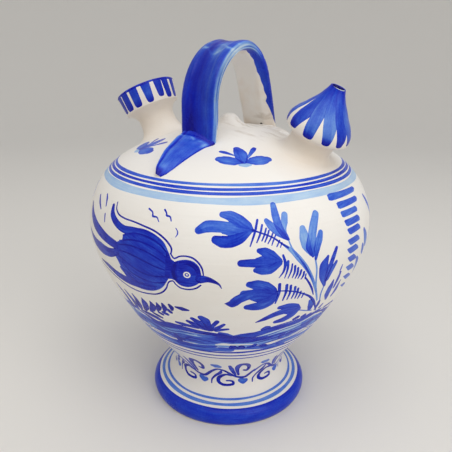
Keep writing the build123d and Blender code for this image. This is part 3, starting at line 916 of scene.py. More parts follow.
sideFeathers = [leaf(tone, *rows) for tone, *rows in (
    (0.6, (100.6, 132.9, 1.9), (102.8, 129.3, 3.5), (105.5, 125, 4.1), (108, 121, 2.2)),
    (0.6, (92, 118.2, 2.2), (94, 114.3, 4.9), (96, 110.6, 5.4), (98.5, 106.8, 2.7)),
    (0.6, (91.8, 109.9, 2.2), (93.6, 106.7, 4.6), (96, 103.3, 2.7)),
    (0.6, (88, 104.5, 1.6), (90.5, 101, 3.8), (93, 96.5, 4.1), (95, 92, 1.9)),
    ((0.3, 0.42, 0.35), (112, 132, 1.2), (108, 122, 1.8), (104, 112, 1.9), (100, 101, 1.6), (97, 90, 1.3),
     (95.5, 80, 1)),
    (0.65, (119, 129.5, 2), (116.5, 126, 4.2), (113.5, 121, 4.4), (110, 116, 1.8)),
    (0.65, (116, 114.5, 1.8), (113, 111.5, 4.4), (109.5, 107.5, 4.4), (105.5, 103, 1.8)),
    (0.65, (111, 101.5, 1.6), (108, 98.5, 3.6), (104.8, 95, 3.4), (101, 90.5, 1.6)),
    (0.65, (106.5, 88.5, 1.4), (103.5, 86, 3), (98.5, 82, 1.6)))]
tufts = [leaf(0.92, *rows) for rows in (
    ((8.6, 76.3, 1.8), (11.3, 75.8, 2.9), (14.7, 75.3, 2.5), (18, 75, 2.7)),
    ((14.4, 78.9, 2.4), (16.5, 77.5, 3.4), (18.7, 76.1, 4), (21.3, 74.7, 3.4)),
    ((16.7, 81.4, 2.5), (18.6, 79.5, 3.7), (20.5, 77, 4.4), (22.9, 74.4, 3.8)),
    ((20.5, 82.9, 3.5), (21.9, 81.1, 4.8), (22.7, 77.9, 3.9), (23.7, 74.1, 3)),
    ((26.8, 80.8, 2.4), (25.3, 78.2, 2.4), (23.5, 75.5, 2.5)),
    ((29.5, 78.8, 1.7), (27.6, 76.7, 2.5), (25.1, 74.5, 2.9)),
    ((31.1, 75.2, 1.6), (28.5, 74.6, 2.1), (26.1, 73.9, 2.8)),
    ((46.2, 73.6, 2.1), (47.7, 74.5, 3.2), (48.9, 74.7, 2.1)), ((60.3, 77, 2), (62, 77.7, 2.9)),
    ((64.7, 77, 2.2), (65.9, 77.5, 2.6)))]
# each bar of the ladder by its corners: upper left, lower left, lower right, upper right
ladderBars = (
    ((73.1, 140.3), (72.8, 137.7), (92.6, 137.6), (93.5, 139.4)),
    ((76, 136.1), (76.2, 133.4), (91.1, 133.4), (91.1, 135.5)),
    ((76.3, 131.9), (76.9, 129.3), (88.3, 129.3), (87.7, 131.6)),
    ((77.2, 127.6), (78.3, 124.7), (88.8, 124.6), (87.4, 127.4)),
    ((78, 123.2), (79.7, 120.2), (88.4, 120.5), (86.4, 123.4)),
    ((77.9, 117.8), (80, 114.7), (87.6, 115.1), (85, 118.2)),
    ((77.8, 113.1), (80.5, 109.8), (87.4, 110.3), (84.2, 113.6)),
    ((79.2, 107.9), (82.2, 104.4), (88, 104.2), (84, 108.2)),
    ((79.9, 102.3), (83.7, 98.5), (89.9, 97.9), (84.5, 102.6)),
    ((81, 96.2), (85.6, 92.1), (91.7, 91.6), (85.8, 96.1)),
    ((83.6, 89.1), (88.9, 85.2), (93, 84.9), (87.6, 89)))
ladderShape = {"wider": 1.07, "taller": 1.2, "shrink": 0.012, "tone": 0.72, "vary": 0.05, "lean": 8,
               "ease": (0.16, 0.07, 0.34, 0.07)}  # how far each side stops short of its corners


def ladder(turn):
    # a column of short slanting bars that shrink as they go down
    bars = []
    for k, corners in enumerate(ladderBars):
        across, up = (sum(c[j] for c in corners) / 4 for j in range(2))
        tall = ladderShape["taller"] - ladderShape["shrink"] * k
        corners = [(across + (a - across) * ladderShape["wider"], up + (u - up) * tall) for a, u in corners]
        rows = []
        for j, ease in enumerate(ladderShape["ease"]):
            (a, u), (b, v) = corners[j], corners[(j + 1) % 4]
            rows += [(turn + a + (b - a) * x, u + (v - u) * x) for x in (ease, 1 - ease)]
        tone = ladderShape["tone"] + ladderShape["vary"] * sin(k * 2.1)
        bars.append(blob(tone, *rows, straight=True, lean=ladderShape["lean"]))
    return bars


# hills in wash, one repeat: tone, whether it wipes what lies under it, and the stroke
landscapeRows = (
    (0.5, 0, (-14, 68, 8), (-4, 66.4, 10), (8, 65.4, 11), (20, 64.6, 11), (36, 63, 9.5), (52, 64.8, 10.5),
     (72, 68.2, 10)),
    (0.6, 0, (-20.6, 69.4, 4.5), (-10.3, 69.6, 5.9), (-6.5, 67.2, 5.3), (-3.8, 64.5, 4.5)),
    (0.62, 0, (8.3, 63.5, 8.3), (15, 63.6, 8.2), (21.5, 64.6, 7.6), (27.6, 65.4, 7.3), (32.1, 65, 6.6)),
    (0.6, 0, (45.1, 66.4, 6.2), (49.7, 66.6, 7.2), (54.5, 67, 7.8), (59.4, 67.7, 7.7), (64.8, 67.9, 6.8),
     (73.4, 67.5, 8.2)),
    (0.66, 0, (-30, 57.4, 4.4), (-20, 57.6, 4.6), (-10, 57.2, 4.8), (-0.4, 56.4, 4.9), (6.9, 55.4, 4.6),
     (14.6, 55.2, 4.2), (23.8, 56.5, 4.8), (32.2, 56.5, 4.7)),
    (0.3, 1, (11.2, 67.6, 0.9), (15.9, 67.7, 1.8), (20.5, 68, 2), (24.2, 67.3, 0.7)),
    (0.2, 1, (43.8, 67.3, 0.5), (49.2, 68.9, 1.7), (53.7, 69.6, 2.2), (60.2, 69.9, 3.6), (67.2, 70.7, 4.4),
     (74.9, 72.1, 4)),
    (0.95, 0, (-10.7, 76.4, 1.8), (-5.3, 76.3, 2.1), (-1.2, 75.5, 1.9), (1.2, 73.7, 1.2), (4.8, 74.3, 0.8),
     (8.6, 74.3, 0.7), (12.8, 74.5, 0.6)),
    (1.0, 0, (-15, 75, 1.4), (-11.1, 74.4, 1.8), (-7.1, 72.8, 3.4), (-3.6, 70.6, 4.6), (0.9, 71.1, 4.8),
     (6, 72.1, 4.4), (10.8, 72.1, 4.4), (15.2, 71.7, 3.9), (18.9, 71.1, 3.5), (23.7, 70.7, 3.1),
     (27.8, 69.8, 3.1), (32, 67.9, 3.1)),
    (0.75, 0, (-7.3, 63.7, 2), (-2.3, 64.2, 2.8), (1, 63.7, 3), (3.8, 62.2, 2.9), (5.2, 60, 3.4)),
    (1.0, 0, (4.1, 64.8, 2.1), (5.2, 62.8, 3.5), (5.4, 60.7, 3.5)),
    (0.95, 0, (7.1, 62.2, 2.7), (8.7, 61.4, 1.4)),
    (0.85, 0, (10.3, 64, 1.7), (12.5, 65.3, 1.8), (13.8, 65.5, 1.1)),
    (0.7, 0, (11.8, 62.5, 2.4), (15.2, 63.1, 1.5)),
    (0.8, 0, (3.9, 57.1, 4.1), (10, 57.8, 3.9), (15.4, 58.1, 3.6), (20.7, 58.8, 2.8), (24.7, 59.5, 2)),
    ((0.6, 0.85, 0.9), 0, (20, 70.4, 1), (25.9, 70, 3), (29.2, 69, 4.6), (33, 67.6, 4), (38, 66.6, 1.5)),
    (0.8, 0, (39.3, 70.1, 0.8), (43.1, 71.7, 0.8), (46.9, 72.9, 0.8), (50.9, 74.3, 0.9), (55.2, 75.1, 1),
     (59.8, 75.6, 1.1), (64.9, 75.7, 1.2), (69.8, 77.1, 1.4)),
    (0.88, 0, (34.3, 69.2, 2.5), (36.8, 69.3, 4.4), (40.2, 69.5, 5.1), (44.5, 70.1, 4.9), (48.9, 71.6, 4.7),
     (52.9, 72.4, 4.2), (57.4, 73.1, 3.9), (62.3, 73.5, 3.6), (67.3, 74.3, 3.4), (71.8, 75.6, 3.2),
     (76.5, 76.6, 2.4)),
    ((0.55, 0.7, 0.85, 0.9, 0.85, 0.65), 0, (17, 68.2, 1), (23, 68, 4.2), (28.4, 67.2, 6.6),
     (34.7, 66.4, 7.2), (39.2, 65.6, 6.4), (44.1, 65.4, 5), (50, 65.6, 3), (57, 66.6, 1)),
    (0.85, 0, (27.6, 71.7, 2.4), (30.4, 71, 2.4), (33.1, 69.7, 1.2)),
    (0.8, 0, (57.9, 62.4, 2.6), (58.3, 65, 4.2), (58.8, 66.3, 2.5)),
    (0.75, 0, (62.3, 64.3, 3.9), (63.1, 65.8, 2.3)), (0.7, 0, (65.3, 65.3, 3.2), (65.8, 65.8, 2.2)),
    (0.05, 1, (25.2, 61.3, 1.4), (29, 62, 2.6), (32.1, 61.6, 2.2), (34.9, 61.6, 1.6), (40.3, 61.4, 1.3),
     (46.3, 60.4, 0.8)),
    (0.7, 0, (26.9, 58.2, 2.3), (32.2, 57.8, 2.3), (40.1, 57.6, 3.1), (47.1, 57.1, 4.2), (53.9, 56.2, 5),
     (59, 55.6, 4.4), (63.3, 55.3, 3)),
    (1.0, 0, (32.8, 58.8, 2.7), (33.6, 59.7, 4), (34.6, 58.7, 2.7)),
    (1.0, 0, (36.9, 58.6, 2.9), (37.9, 59.3, 3.8), (39, 58.4, 2.5)),
    (1.0, 0, (41.7, 58.6, 2), (44.2, 59.4, 3.1), (45, 60.1, 2.8)),
    (1.0, 0, (48.1, 58.4, 1.7), (50.3, 58.4, 3.3), (52, 57.5, 1.7)))
# a scrolling stem with a hook, a curl, a leaf and two drops, one repeat
vineRows = (
    (0.98, (14.5, 28.4, 1.5), (17.6, 30.4, 1.5), (22.1, 32.3, 1.6), (26.7, 31.5, 1.5), (31.4, 28.9, 1.5),
     (36.5, 26.1, 1.5), (42.6, 24.4, 1.6), (48.1, 24.4, 1.7), (52, 26.6, 1.7), (54.5, 28.4, 1.6),
     (56, 29.4, 1.4)),
    (0.6, (19.1, 36.3, 3), (21.5, 35.8, 4.6), (23.6, 35.2, 3)),
    (0.68, (43.7, 21.9, 3.1), (46.5, 21, 3.6), (48.5, 21.3, 2.7)),
    (1.0, (25, 30.9, 1), (24, 28.9, 2), (20.5, 26.6, 1.7), (17, 24, 1.1), (14.7, 21.5, 0.9),
     (14.5, 19.3, 0.7)),
    (1.05, (34.3, 26.6, 1.9), (29.2, 27.3, 1.6), (24.8, 25.9, 2.1), (21.6, 23.2, 2.1), (21.4, 21.1, 2),
     (24.5, 19.4, 1.5), (29.9, 18.9, 1.3), (34.5, 19.2, 1.4), (36.4, 19.6, 1.5), (36, 20.9, 1.3),
     (33.3, 21.8, 1.1), (29.5, 21.8, 0.9)),
    (0.88, (32.3, 36.7, 1.5), (34, 33, 2.4), (36.2, 29.1, 2), (38.2, 26.8, 1.1)),
    (1.05, (40.8, 26.9, 1.4), (39.2, 30.6, 1.9), (38.9, 34.5, 2.7), (40.9, 37.6, 2.9), (44.1, 37.9, 2.7),
     (47.6, 35.9, 2.1), (48.9, 32.9, 1.9), (47.9, 30.6, 1.9), (44.9, 31.1, 1.3)))
# brush drags under each ridge: drop below it, tone, whether it wipes, start and end along it, width
hillDrags = (
    (((-18, 74.6), (-7.1, 72.6), (0.9, 71.1), (10.8, 72), (18.9, 71.1), (27.8, 69.6), (38, 66.4)),
     ((3.4, 0.78, 0, 0.08, 0.62, 1.1), (4.7, 0.4, 1, 0.3, 0.55, 0.9), (5.8, 0.85, 0, 0.02, 0.5, 1.3),
      (6.9, 0.75, 0, 0.4, 0.8, 1.0), (7.9, 0.42, 1, 0.12, 0.44, 0.9), (9, 0.9, 0, 0.36, 0.7, 1.1),
      (10.1, 0.75, 0, 0.0, 0.4, 1.4), (11.2, 0.36, 1, 0.48, 0.8, 1.0), (12.6, 0.86, 0, 0.1, 0.55, 1.5),
      (14.2, 0.8, 0, 0.3, 0.72, 1.3))),
    (((30, 66.2), (36.8, 69), (44.5, 70.1), (52.9, 72.2), (62.3, 73.5), (71.8, 75.4), (80, 77)),
     ((3.2, 0.72, 0, 0.2, 0.9, 1.0), (4.6, 0.3, 1, 0.42, 0.98, 1.3), (6, 0.75, 0, 0.36, 0.94, 1.0),
      (7.2, 0.45, 1, 0.5, 0.9, 0.9), (8.4, 0.8, 0, 0.3, 0.85, 1.3), (9.9, 0.66, 0, 0.5, 1.0, 1.4),
      (11.3, 0.8, 0, 0.34, 0.86, 1.2), (12.8, 0.4, 1, 0.55, 0.95, 0.9), (14.4, 0.75, 0, 0.4, 0.98, 1.6))))
vineTurns = (-119, -79, -40, 0, 41.5, 81, 121, 161, 201, 241)
dragShape = {"sample": 1.0, "stride": 4, "taper": (0.06, 0.94), "sway": 0.3, "washes": 7}
vineWider = 1.14


def drags():
    out = []
    for ridge, marks in hillDrags:
        line = smoothRow(ridge, dragShape["sample"])
        last = len(line) - 1
        for drop, tone, wipes, start, end, width in marks:
            part = line[int(start * last):int(end * last) + 1:dragShape["stride"]]
            taper = np.sin(np.pi * np.linspace(*dragShape["taper"], len(part)))**0.5
            sway = dragShape["sway"] * np.sin(0.4 * part[:, 0] + drop)
            rows = np.column_stack([part[:, 0], part[:, 1] - drop + sway, width * taper])
            out.append(leaf(tone, *rows, over=bool(wipes)))
    return out


def landscape():
    # one repeat of the hills: the drags lie over the washes and under the ridges
    strokes = [leaf(tone, *rows, over=bool(wipes)) for tone, wipes, *rows in landscapeRows]
    return strokes[:dragShape["washes"]] + drags() + strokes[dragShape["washes"]:]


def vine():
    repeat = []
    for tone, *rows in vineRows:
        repeat.append(leaf(tone, *[(a, u, w * vineWider) for a, u, w in rows], wet=True))
    return [stroke for turn in vineTurns for stroke in turned(repeat, turn)]


# Painted sheets: a wall is unrolled, triangulated along the strokes and rolled up again

bakeBox = {"edge": 0.004, "wide": 0.992, "backUp": 0.48, "tall": 0.466}


def readSteps(first, spans, last):
    return np.concatenate([[first], *[np.arange(*span) for span in spans], [last]])


def sheetGrid(sheet, rows, columns, creases):
    # staggered points, and the sheet's border with a middle line where the bake map splits
    span = sheet.high - sheet.low
    points = []
    for k, t in enumerate(rows[1:-1]):
        shift = 0.5 + 0.49 * (k % 2)
        points += [(sheet.low + span * (c + shift) / columns, t) for c in range(columns - 1)]
    line = np.linspace(sheet.low, sheet.high, columns + 1)
    half = (sheet.low + sheet.high) / 2
    lines = [np.column_stack([line, np.full(columns + 1, t)]) for t in (rows[0], rows[-1], *creases)]
    lines += [np.column_stack([np.full(len(rows), s), rows]) for s in (sheet.low, half, sheet.high)]
    return points, [(line, False) for line in lines]


def sheetBake(sheet, flat, faces):
    # on the bake map the back half of the sheet lies above the front half
    middle = (sheet.low + sheet.high) / 2
    corner = flat[faces]
    back = (corner.mean(axis=1)[:, 0] > middle)[:, None]
    across = (corner[:, :, 0] - np.where(back, middle, sheet.low)) / (middle - sheet.low)
    up = corner[:, :, 1] / sheet.t[-1]
    return np.stack([bakeBox["edge"] + bakeBox["wide"] * across,
                     np.where(back, bakeBox["backUp"], bakeBox["edge"]) + bakeBox["tall"] * up], axis=-1)


def paintedSheet(name, sheet, strokes, rows, settings, creases=()):
    grid, border = sheetGrid(sheet, rows, settings["columns"], creases)

    def keep(c):
        return (c[:, 0] > sheet.low) & (c[:, 0] < sheet.high) & (c[:, 1] > rows[0]) & (c[:, 1] < rows[-1])

    skin = paint(sheet, strokes, border, grid, settings["gap"], [], keep, settings["fineness"])
    flat, faces, load, brush = skin
    return skinMesh(name, sheet.solid(flat), faces, load, brush, sheetBake(sheet, flat, faces))


def finishSheet(mesh, name, node, material, angle, place=None):
    bm = weldedMesh(mesh)
    bmesh.ops.dissolve_degenerate(bm, dist=weld["slivers"], edges=bm.edges)
    if place is not None:
        bmesh.ops.transform(bm, matrix=place, verts=bm.verts)
    keepMesh(bm, mesh)
    dress(addPiece(name, mesh), node, material, angle)


# Belly: hills, a bird, sprigs and ladders, rings on the wheel, and the high half of the scroll

belly = {
    "unrolled": 60.0, "read": (23.05, [(24, 144)], 144.15), "columns": 132, "rows": 44, "fineness": 0.9,
    "gap": 0.8, "smooth": 38, "hillTurns": (-90, 0, 90, 180, 270), "backMarks": 3,
    "seamLeaves": slice(5, 7),  # of the side feathers: these two lie across the sheet's seam
    # rings: tone, height, width and shake
    "rings": (((0.33, 0.27, 0.25, 0.25, 0.26, 0.25, 0.27, 0.33), 141.65, 3.7, 0.15), (0.8, 144.2, 1.7, 0.0),
              (0.85, 53.6, 2.0, 0.1), (0.92, 49.8, 1.5, 0.1), (0.92, 46.5, 1.4, 0.1)),
    # the inner wall, from the seam down to the floor
    "inner": ((58.6, shape["seam"]), (64.6, 139.1), (70.5, 131.1), (73.9, 121.8), (74.5, 112), (72.9, 102),
              (67.6, 88.2), (61, 74.8), (53.5, 61.9), (44.9, 49.7), (35.9, 37.8), (31.1, shape["floor"])),
}


def makeBelly():
    seam = shape["seamTurn"]
    sheet = Sheet(readOutline("belly", readSteps(*belly["read"])), seam, belly["unrolled"])
    sheet.outline[0] = (shape["waistRadius"], shape["waist"])
    sheet.outline[-1] = (shape["seamRadius"], shape["seam"])
    hills = landscape()
    strokes = [stroke for turn in belly["hillTurns"] for stroke in turned(hills, turn)]
    strokes += [circle(tone, up, width, seam, shake) for tone, up, width, shake in belly["rings"]]
    sprigs = grass + tufts + tulips + stems + barbs + lances
    strokes += bird + skyMarks + sprigs + ladder(0) + sideFeathers
    strokes += turned(bird + skyMarks[:belly["backMarks"]] + sprigs + sideFeathers, 180) + ladder(180)
    strokes += turned(sideFeathers[belly["seamLeaves"]], -180) + vine()
    rows = np.linspace(0, sheet.t[-1], belly["rows"])
    mesh = paintedSheet("bellySkin", sheet, climbed(strokes, sheet), rows, belly)
    bm = weldedMesh(mesh)
    outside = len(bm.faces)
    floorRing = carryRing(bm, openRing(bm, shape["seam"]), belly["inner"])
    for ring in (floorRing, openRing(bm, shape["waist"])):
        bmesh.ops.holes_fill(bm, edges=ring, sides=0)
    bakeStrip(bm, outside)
    keepMesh(bm, mesh)
    dress(addPiece("paintedBelly", mesh), "belly", finish["belly"], belly["smooth"])
    print("belly painted:", len(strokes), "strokes,", len(mesh.polygons), "faces")


# The dome's surface, and the frames of the two necks that lean on it

domeRead = (0.05, [(1, 66.5, 0.75)], 66.75)
domeLine = np.array(readDome(readSteps(*domeRead)))
domeLine[0], domeLine[-1] = (0, domeLine[0, 1]), (shape["seamRadius"], shape["seam"])
halving = {"low": -16.0, "high": 12.0, "times": 40}
slopeSpan = 0.8


def domeZ(radius):
    return np.interp(radius, domeLine[:, 0], domeLine[:, 1])


def domeNormal(x, y):
    r = max(hypot(x, y), 1e-6)
    slope = (domeZ(r + slopeSpan) - domeZ(r - slopeSpan)) / (2 * slopeSpan) if r > 1 else 0.0
    return Vector((-slope * x / r, -slope * y / r, 1)).normalized()


def leaning(offset, lean):
    # the frame of a piece that stands on the dome at x = offset and leans towards its own side
    a = radians(lean)
    axes = Matrix(((cos(a), 0, sin(a)), (0, 1, 0), (-sin(a), 0, cos(a)))).to_4x4()
    return Matrix.Translation(Vector((offset, 0, domeZ(abs(offset)))) * mm) @ axes


def leaningPoint(place, radius, turn, height):
    return place @ (Vector((radius * cos(turn), radius * sin(turn), height)) * mm) / mm


def onSurface(place, radius, turn, line):
    # the point of a leaning bore's wall that lies on a turned surface, found by halving
    low, high = halving["low"], halving["high"]
    for _ in range(halving["times"]):
        middle = (low + high) / 2
        p = leaningPoint(place, radius, turn, middle)
        if p.z > np.interp(hypot(p.x, p.y), line[:, 0], line[:, 1]):
            high = middle
        else:
            low = middle
    return p


def readTurned(node, place, heights):
    # outline of a leaning turned piece, square to its axis
    starts = [place @ Vector((0, -rays["near"], z * mm)) for z in heights]
    rows = zip(heights, starts, cast(node, starts, (0, 1, 0)))
    return [((rays["near"] - (spot - start).length) / mm, z) for z, start, (hit, spot) in rows if hit]


# Dome: three stripes on the wheel and four small sprays between handle, mouth and spout

dome = {
    "fineness": 0.7, "ring": 180, "step": 3.2, "stagger": 0.37, "gap": 0.6, "holeGap": 1.0, "smooth": 38,
    "boreSides": 56, "mouthBore": 7.6, "spoutBore": 7.4, "mouth": (-47.2, -26.0), "spout": (46.6, 25.0),
    # the two upper stripes: radius, width, and the tone on the way round
    "stripes": (
        (63.0, 1.75, (0.64, 0.48, 0.6, 0.76, 0.7, 0.6, 0.62, 0.5, 0.62, 0.7, 0.68, 0.7, 0.64)),
        (65.0, 1.65, (0.8, 0.66, 0.76, 0.84, 0.8, 0.72, 0.74, 0.66, 0.74, 0.8, 0.78, 0.84, 0.8))),
    "shake": 0.1, "edgeTone": 0.8, "edgeInset": 0.1, "edgeWidth": 1.6,
    "sprays": ((39.6, 50.6), (-42.5, 51.8), (140.5, 50.8), (-140.0, 51.2)),
    # a spray's petals: tones, then rows of across, towards the crown, width
    "petals": (
        ((0.8, 0.66, 0.75),
         (-1.6, 2.0, 2.6), (-4.4, 2.6, 6.4), (-8.4, 3.8, 7.2), (-10.8, 4.5, 6.2), (-12.0, 4.8, 4.4)),
        ((0.8, 0.66, 0.75),
         (1.4, 2.0, 2.2), (4.2, 2.6, 6.6), (8.2, 3.2, 8.0), (10.8, 3.6, 6.8), (12.2, 3.7, 4.8)),
        ((0.85, 0.66, 0.85),
         (-0.3, 2.4, 3.4), (-0.6, 6.2, 6.8), (-0.8, 10.4, 6.8), (-1.5, 13.4, 5.4), (-1.9, 14.8, 3.8)),
        ((0.6, 0.85), (-3.4, 7.6, 0.9), (-6.4, 9.8, 1.8), (-8.8, 11.2, 2.6), (-10.4, 11.8, 2.0)),
        ((0.55, 0.85), (1.6, 4.6, 0.9), (4.2, 9.2, 1.9), (6.4, 13.2, 2.8), (7.2, 14.6, 2.2)),
        (0.3, (-2.2, -0.2, 2.2), (0.2, -0.5, 3.2), (2.4, -0.1, 2.2))),
    # the inner face, from the crown to the seam
    "inner": ((0, 160.5), (12.2, 159.9), (24.27, 157.04), (33.85, 154.35), (43.38, 151.5), (52.59, 147.76),
              (58.6, shape["seam"])),
    "bakeOuter": (0.5, 0.495), "bakeHidden": (0.07, 0.06),  # middle and reach on the bake map
}


def spray(around, reach):
    out = []
    for tone, *rows in dome["petals"]:
        rows = [(around + degrees(x / (reach - y)), reach - y, w) for x, y, w in rows]
        out.append(leaf(tone, *rows))
    return out


def boreLoop(disc, place, radius):
    # where a leaning bore meets a turned surface, in flat coordinates about the crown
    loop = []
    for k in range(dome["boreSides"]):
        p = onSurface(place, radius, tau * k / dome["boreSides"], disc.outline)
        reach = disc.reach(hypot(p.x, p.y))
        turn = atan2(p.x, -p.y)
        loop.append((reach * sin(turn), -reach * cos(turn)))
    return np.array(loop)


def discSkin(disc, strokes, holes):
    edge, step = disc.t[-1], dome["step"]
    turns = np.radians(np.arange(dome["ring"]) * 360 / dome["ring"])
    rim = np.column_stack([edge * np.sin(turns), -edge * np.cos(turns)])
    grid = [(0.0, 0.0)]
    rings = int(edge / step)
    for k in range(1, rings + 1):
        reach = edge * k / (rings + 1)
        count = max(int(tau * reach / step), 6)
        spin = np.arange(count) * tau / count + dome["stagger"] * k
        grid += list(zip(reach * np.sin(spin), -reach * np.cos(spin)))
    tree = pointTree([p for hole in holes for p in hole])
    grid = [p for p in grid if tree.find((*p, 0))[2] > dome["holeGap"]]

    def keep(c):
        return np.hypot(*c.T) < edge

    skin = paint(disc, strokes, [(rim, True)], grid, dome["gap"], holes, keep, dome["fineness"])
    return skin, rim


def nearestIndex(flat, loop):
    return [int(np.argmin(np.hypot(*(flat - p).T))) for p in loop]


def makeDome():
    outer, inner = Disc(domeLine), Disc(dome["inner"])
    edge = outer.t[-1]
    strokes = []
    for radius, width, tone in dome["stripes"]:
        strokes.append(circle(tone, outer.reach(radius), width, None, dome["shake"]))
    strokes.append(circle(dome["edgeTone"], edge - dome["edgeInset"], dome["edgeWidth"], None, 0.0))
    for around, radius in dome["sprays"]:
        strokes += spray(around, outer.reach(radius))
    bores = [(leaning(*dome[name]), dome[name + "Bore"]) for name in ("mouth", "spout")]
    outHoles = [boreLoop(outer, *bore) for bore in bores]
    inHoles = [boreLoop(inner, *bore) for bore in bores]
    (flat, faces, load, brush), rim = discSkin(outer, strokes, outHoles)
    (innerFlat, innerFaces, _, _), innerRim = discSkin(inner, [], inHoles)
    shift = len(flat)
    walls = []  # through the two bores, and round the seam
    for out, back in zip([*outHoles, rim], [*inHoles, innerRim]):
        a, b = nearestIndex(flat, out), [shift + k for k in nearestIndex(innerFlat, back)]
        for k in range(len(a)):
            n = (k + 1) % len(a)
            walls += [(a[k], a[n], b[n]), (a[k], b[n], b[k])]
    corners = np.vstack([faces, innerFaces + shift, np.array(walls)])
    hidden = len(innerFaces) + len(walls)
    load = np.vstack([load, np.zeros((hidden, 3))])
    brush = np.concatenate([brush, np.zeros((hidden, 3, 3))])
    spread = np.vstack([flat, innerFlat])[corners]
    uv = dome["bakeOuter"][0] + dome["bakeOuter"][1] * spread / edge
    uv[len(faces):] = dome["bakeHidden"][0] + dome["bakeHidden"][1] * spread[len(faces):] / edge
    solid = np.vstack([outer.solid(flat), inner.solid(innerFlat)])
    mesh = skinMesh("domeSkin", solid, corners, load, brush, uv)
    finishSheet(mesh, "paintedDome", "shoulder_dome", finish["dome"], dome["smooth"])
    print("dome painted:", len(mesh.polygons), "faces")


# Foot: a blue roll with a bare edge, two fine lines, and the low half of the scroll

foot = {
    "unrolled": 42.0, "columns": 132, "rows": 22, "fineness": 0.8, "gap": 0.7, "smooth": 50,
    # heights read off the frame, close together over the step above the roll
    "read": (0.04, [(0.4, 10.2, 0.4), (10.25, 12.4, 0.12), (12.5, 23, 0.5)], 22.97), "edge": (46.0, 0.0),
    "roll": (0.9, 10.3), "rollTone": 0.92, "rollShake": (0.1, 0.12), "creases": (10.2, 12.4),
    "lines": ((0.56, 11.2, 2.1), (0.6, 12.35, 1.4)), "lineShake": 0.08,  # tone, height, width
    "inner": ((39.0, 0.0), (36.6, 5.0), (33.6, 12.0), (28.7, 23.0)),
}


def makeFoot():
    seam = shape["seamTurn"]
    line = readOutline("pedestal_foot", readSteps(*foot["read"]))
    line[0], line[-1] = foot["edge"], (shape["waistRadius"], shape["waist"])
    sheet = Sheet(line, seam, foot["unrolled"])
    low, high = (sheet.climb(z) for z in foot["roll"])
    strokes = [circle(foot["rollTone"], (low + high) / 2, high - low, seam, *foot["rollShake"])]
    for tone, z, width in foot["lines"]:
        strokes.append(circle(tone, sheet.climb(z), width, seam, foot["lineShake"]))
    strokes += climbed(vine(), sheet)
    rows = np.linspace(0, sheet.t[-1], foot["rows"])
    creases = [sheet.climb(z) for z in foot["creases"]]
    mesh = paintedSheet("footSkin", sheet, strokes, rows, foot, creases)
    bm = weldedMesh(mesh)
    outside = len(bm.faces)
    bottom, top = openRing(bm, 0), openRing(bm, shape["waist"])
    inside = carryRing(bm, bottom, foot["inner"])
    bmesh.ops.bridge_loops(bm, edges=top + inside)
    bakeStrip(bm, outside)
    bmesh.ops.triangulate(bm, faces=[f for f in bm.faces if len(f.verts) > 4])
    keepMesh(bm, mesh)
    dress(addPiece("paintedFoot", mesh), "pedestal_foot", finish["foot"], foot["smooth"])
    print("foot painted:", len(mesh.polygons), "faces")


# Mouth collar: a blue rim, and bars that run down from it and narrow to round ends

collar = {
    "unrolled": 17.0, "columns": 90, "fineness": 0.5, "gap": 0.45, "seam": -80.0, "smooth": 45,
    "rowStep": 1.1, "lipRows": 6,
    "read": (17.84, [(18.4, 29, 0.8), (29, 30.2, 0.1)], 30.17), "foot": (15.9, 17.8), "lip": (16.6, 30.2),
    "inside": ((14.9, 30.12), (14.5, 29.8), (14.3, 29.2), (13.6, 26.4), (12.3, 23.4), (10.4, 20.6),
               (8.6, 18.8), (7.6, 17.8), (15.9, 17.8)),
    "rimTone": 0.92, "rimDown": 0.7, "rimWidth": 2.7, "rimShake": (0.12, 0.9),
    # bars: turn at the rim and below, width at the rim and below, and the lower end
    "bars": ((-53, -59, 15, 15, 0.7), (-28, -32.5, 18, 19, 0.9), (-7.5, -10, 17, 20, 0.6),
             (15.5, 14, 17.5, 17.5, 0.4), (41, 41.5, 18.5, 15, 0.4), (65.5, 67, 17, 14, 1.7),
             (82, 86.5, 16, 15.5, 0.4), (104, 108.5, 16, 16, 0.6), (130, 134, 16, 13, 1.0),
             (155, 157, 15, 13, 0.5), (179, 180, 17, 14, 0.9), (204, 203, 16, 12.5, 0.5),
             (228, 226, 15, 13.5, 1.2), (252, 250, 16, 13, 0.6), (275, 271.5, 14, 12, 0.9)),
    "corner": ((3.4, 0.15), (1, 0.8), (0, 2)), "tuck": 0.6, "tone": 0.88, "vary": 0.1, "lean": 86,
}


def cornerRows(edge, end, corner, side):
    # the round corner at the lower end of a brush stroke: each step of inset and rise
    return [(edge - side * inset, end + up) for inset, up in corner]


def collarBar(k, brim):
    top, low, topWide, lowWide, end = collar["bars"][k]
    high, corner = brim - collar["tuck"], collar["corner"]
    rows = [(low, end), *cornerRows(low + lowWide / 2, end, corner, 1), (top + topWide / 2, high),
            (top - topWide / 2, high), *reversed(cornerRows(low - lowWide / 2, end, corner, -1))]
    body = collar["tone"] + collar["vary"] * sin(k * 1.3)
    tones = ((end, 1.2), (end + 1.5, 1.0), (end + 5, body), (brim, 0.95))  # the blue pools at the lower end
    return blob(body, *rows, tones=tones, straight=True, lean=collar["lean"])


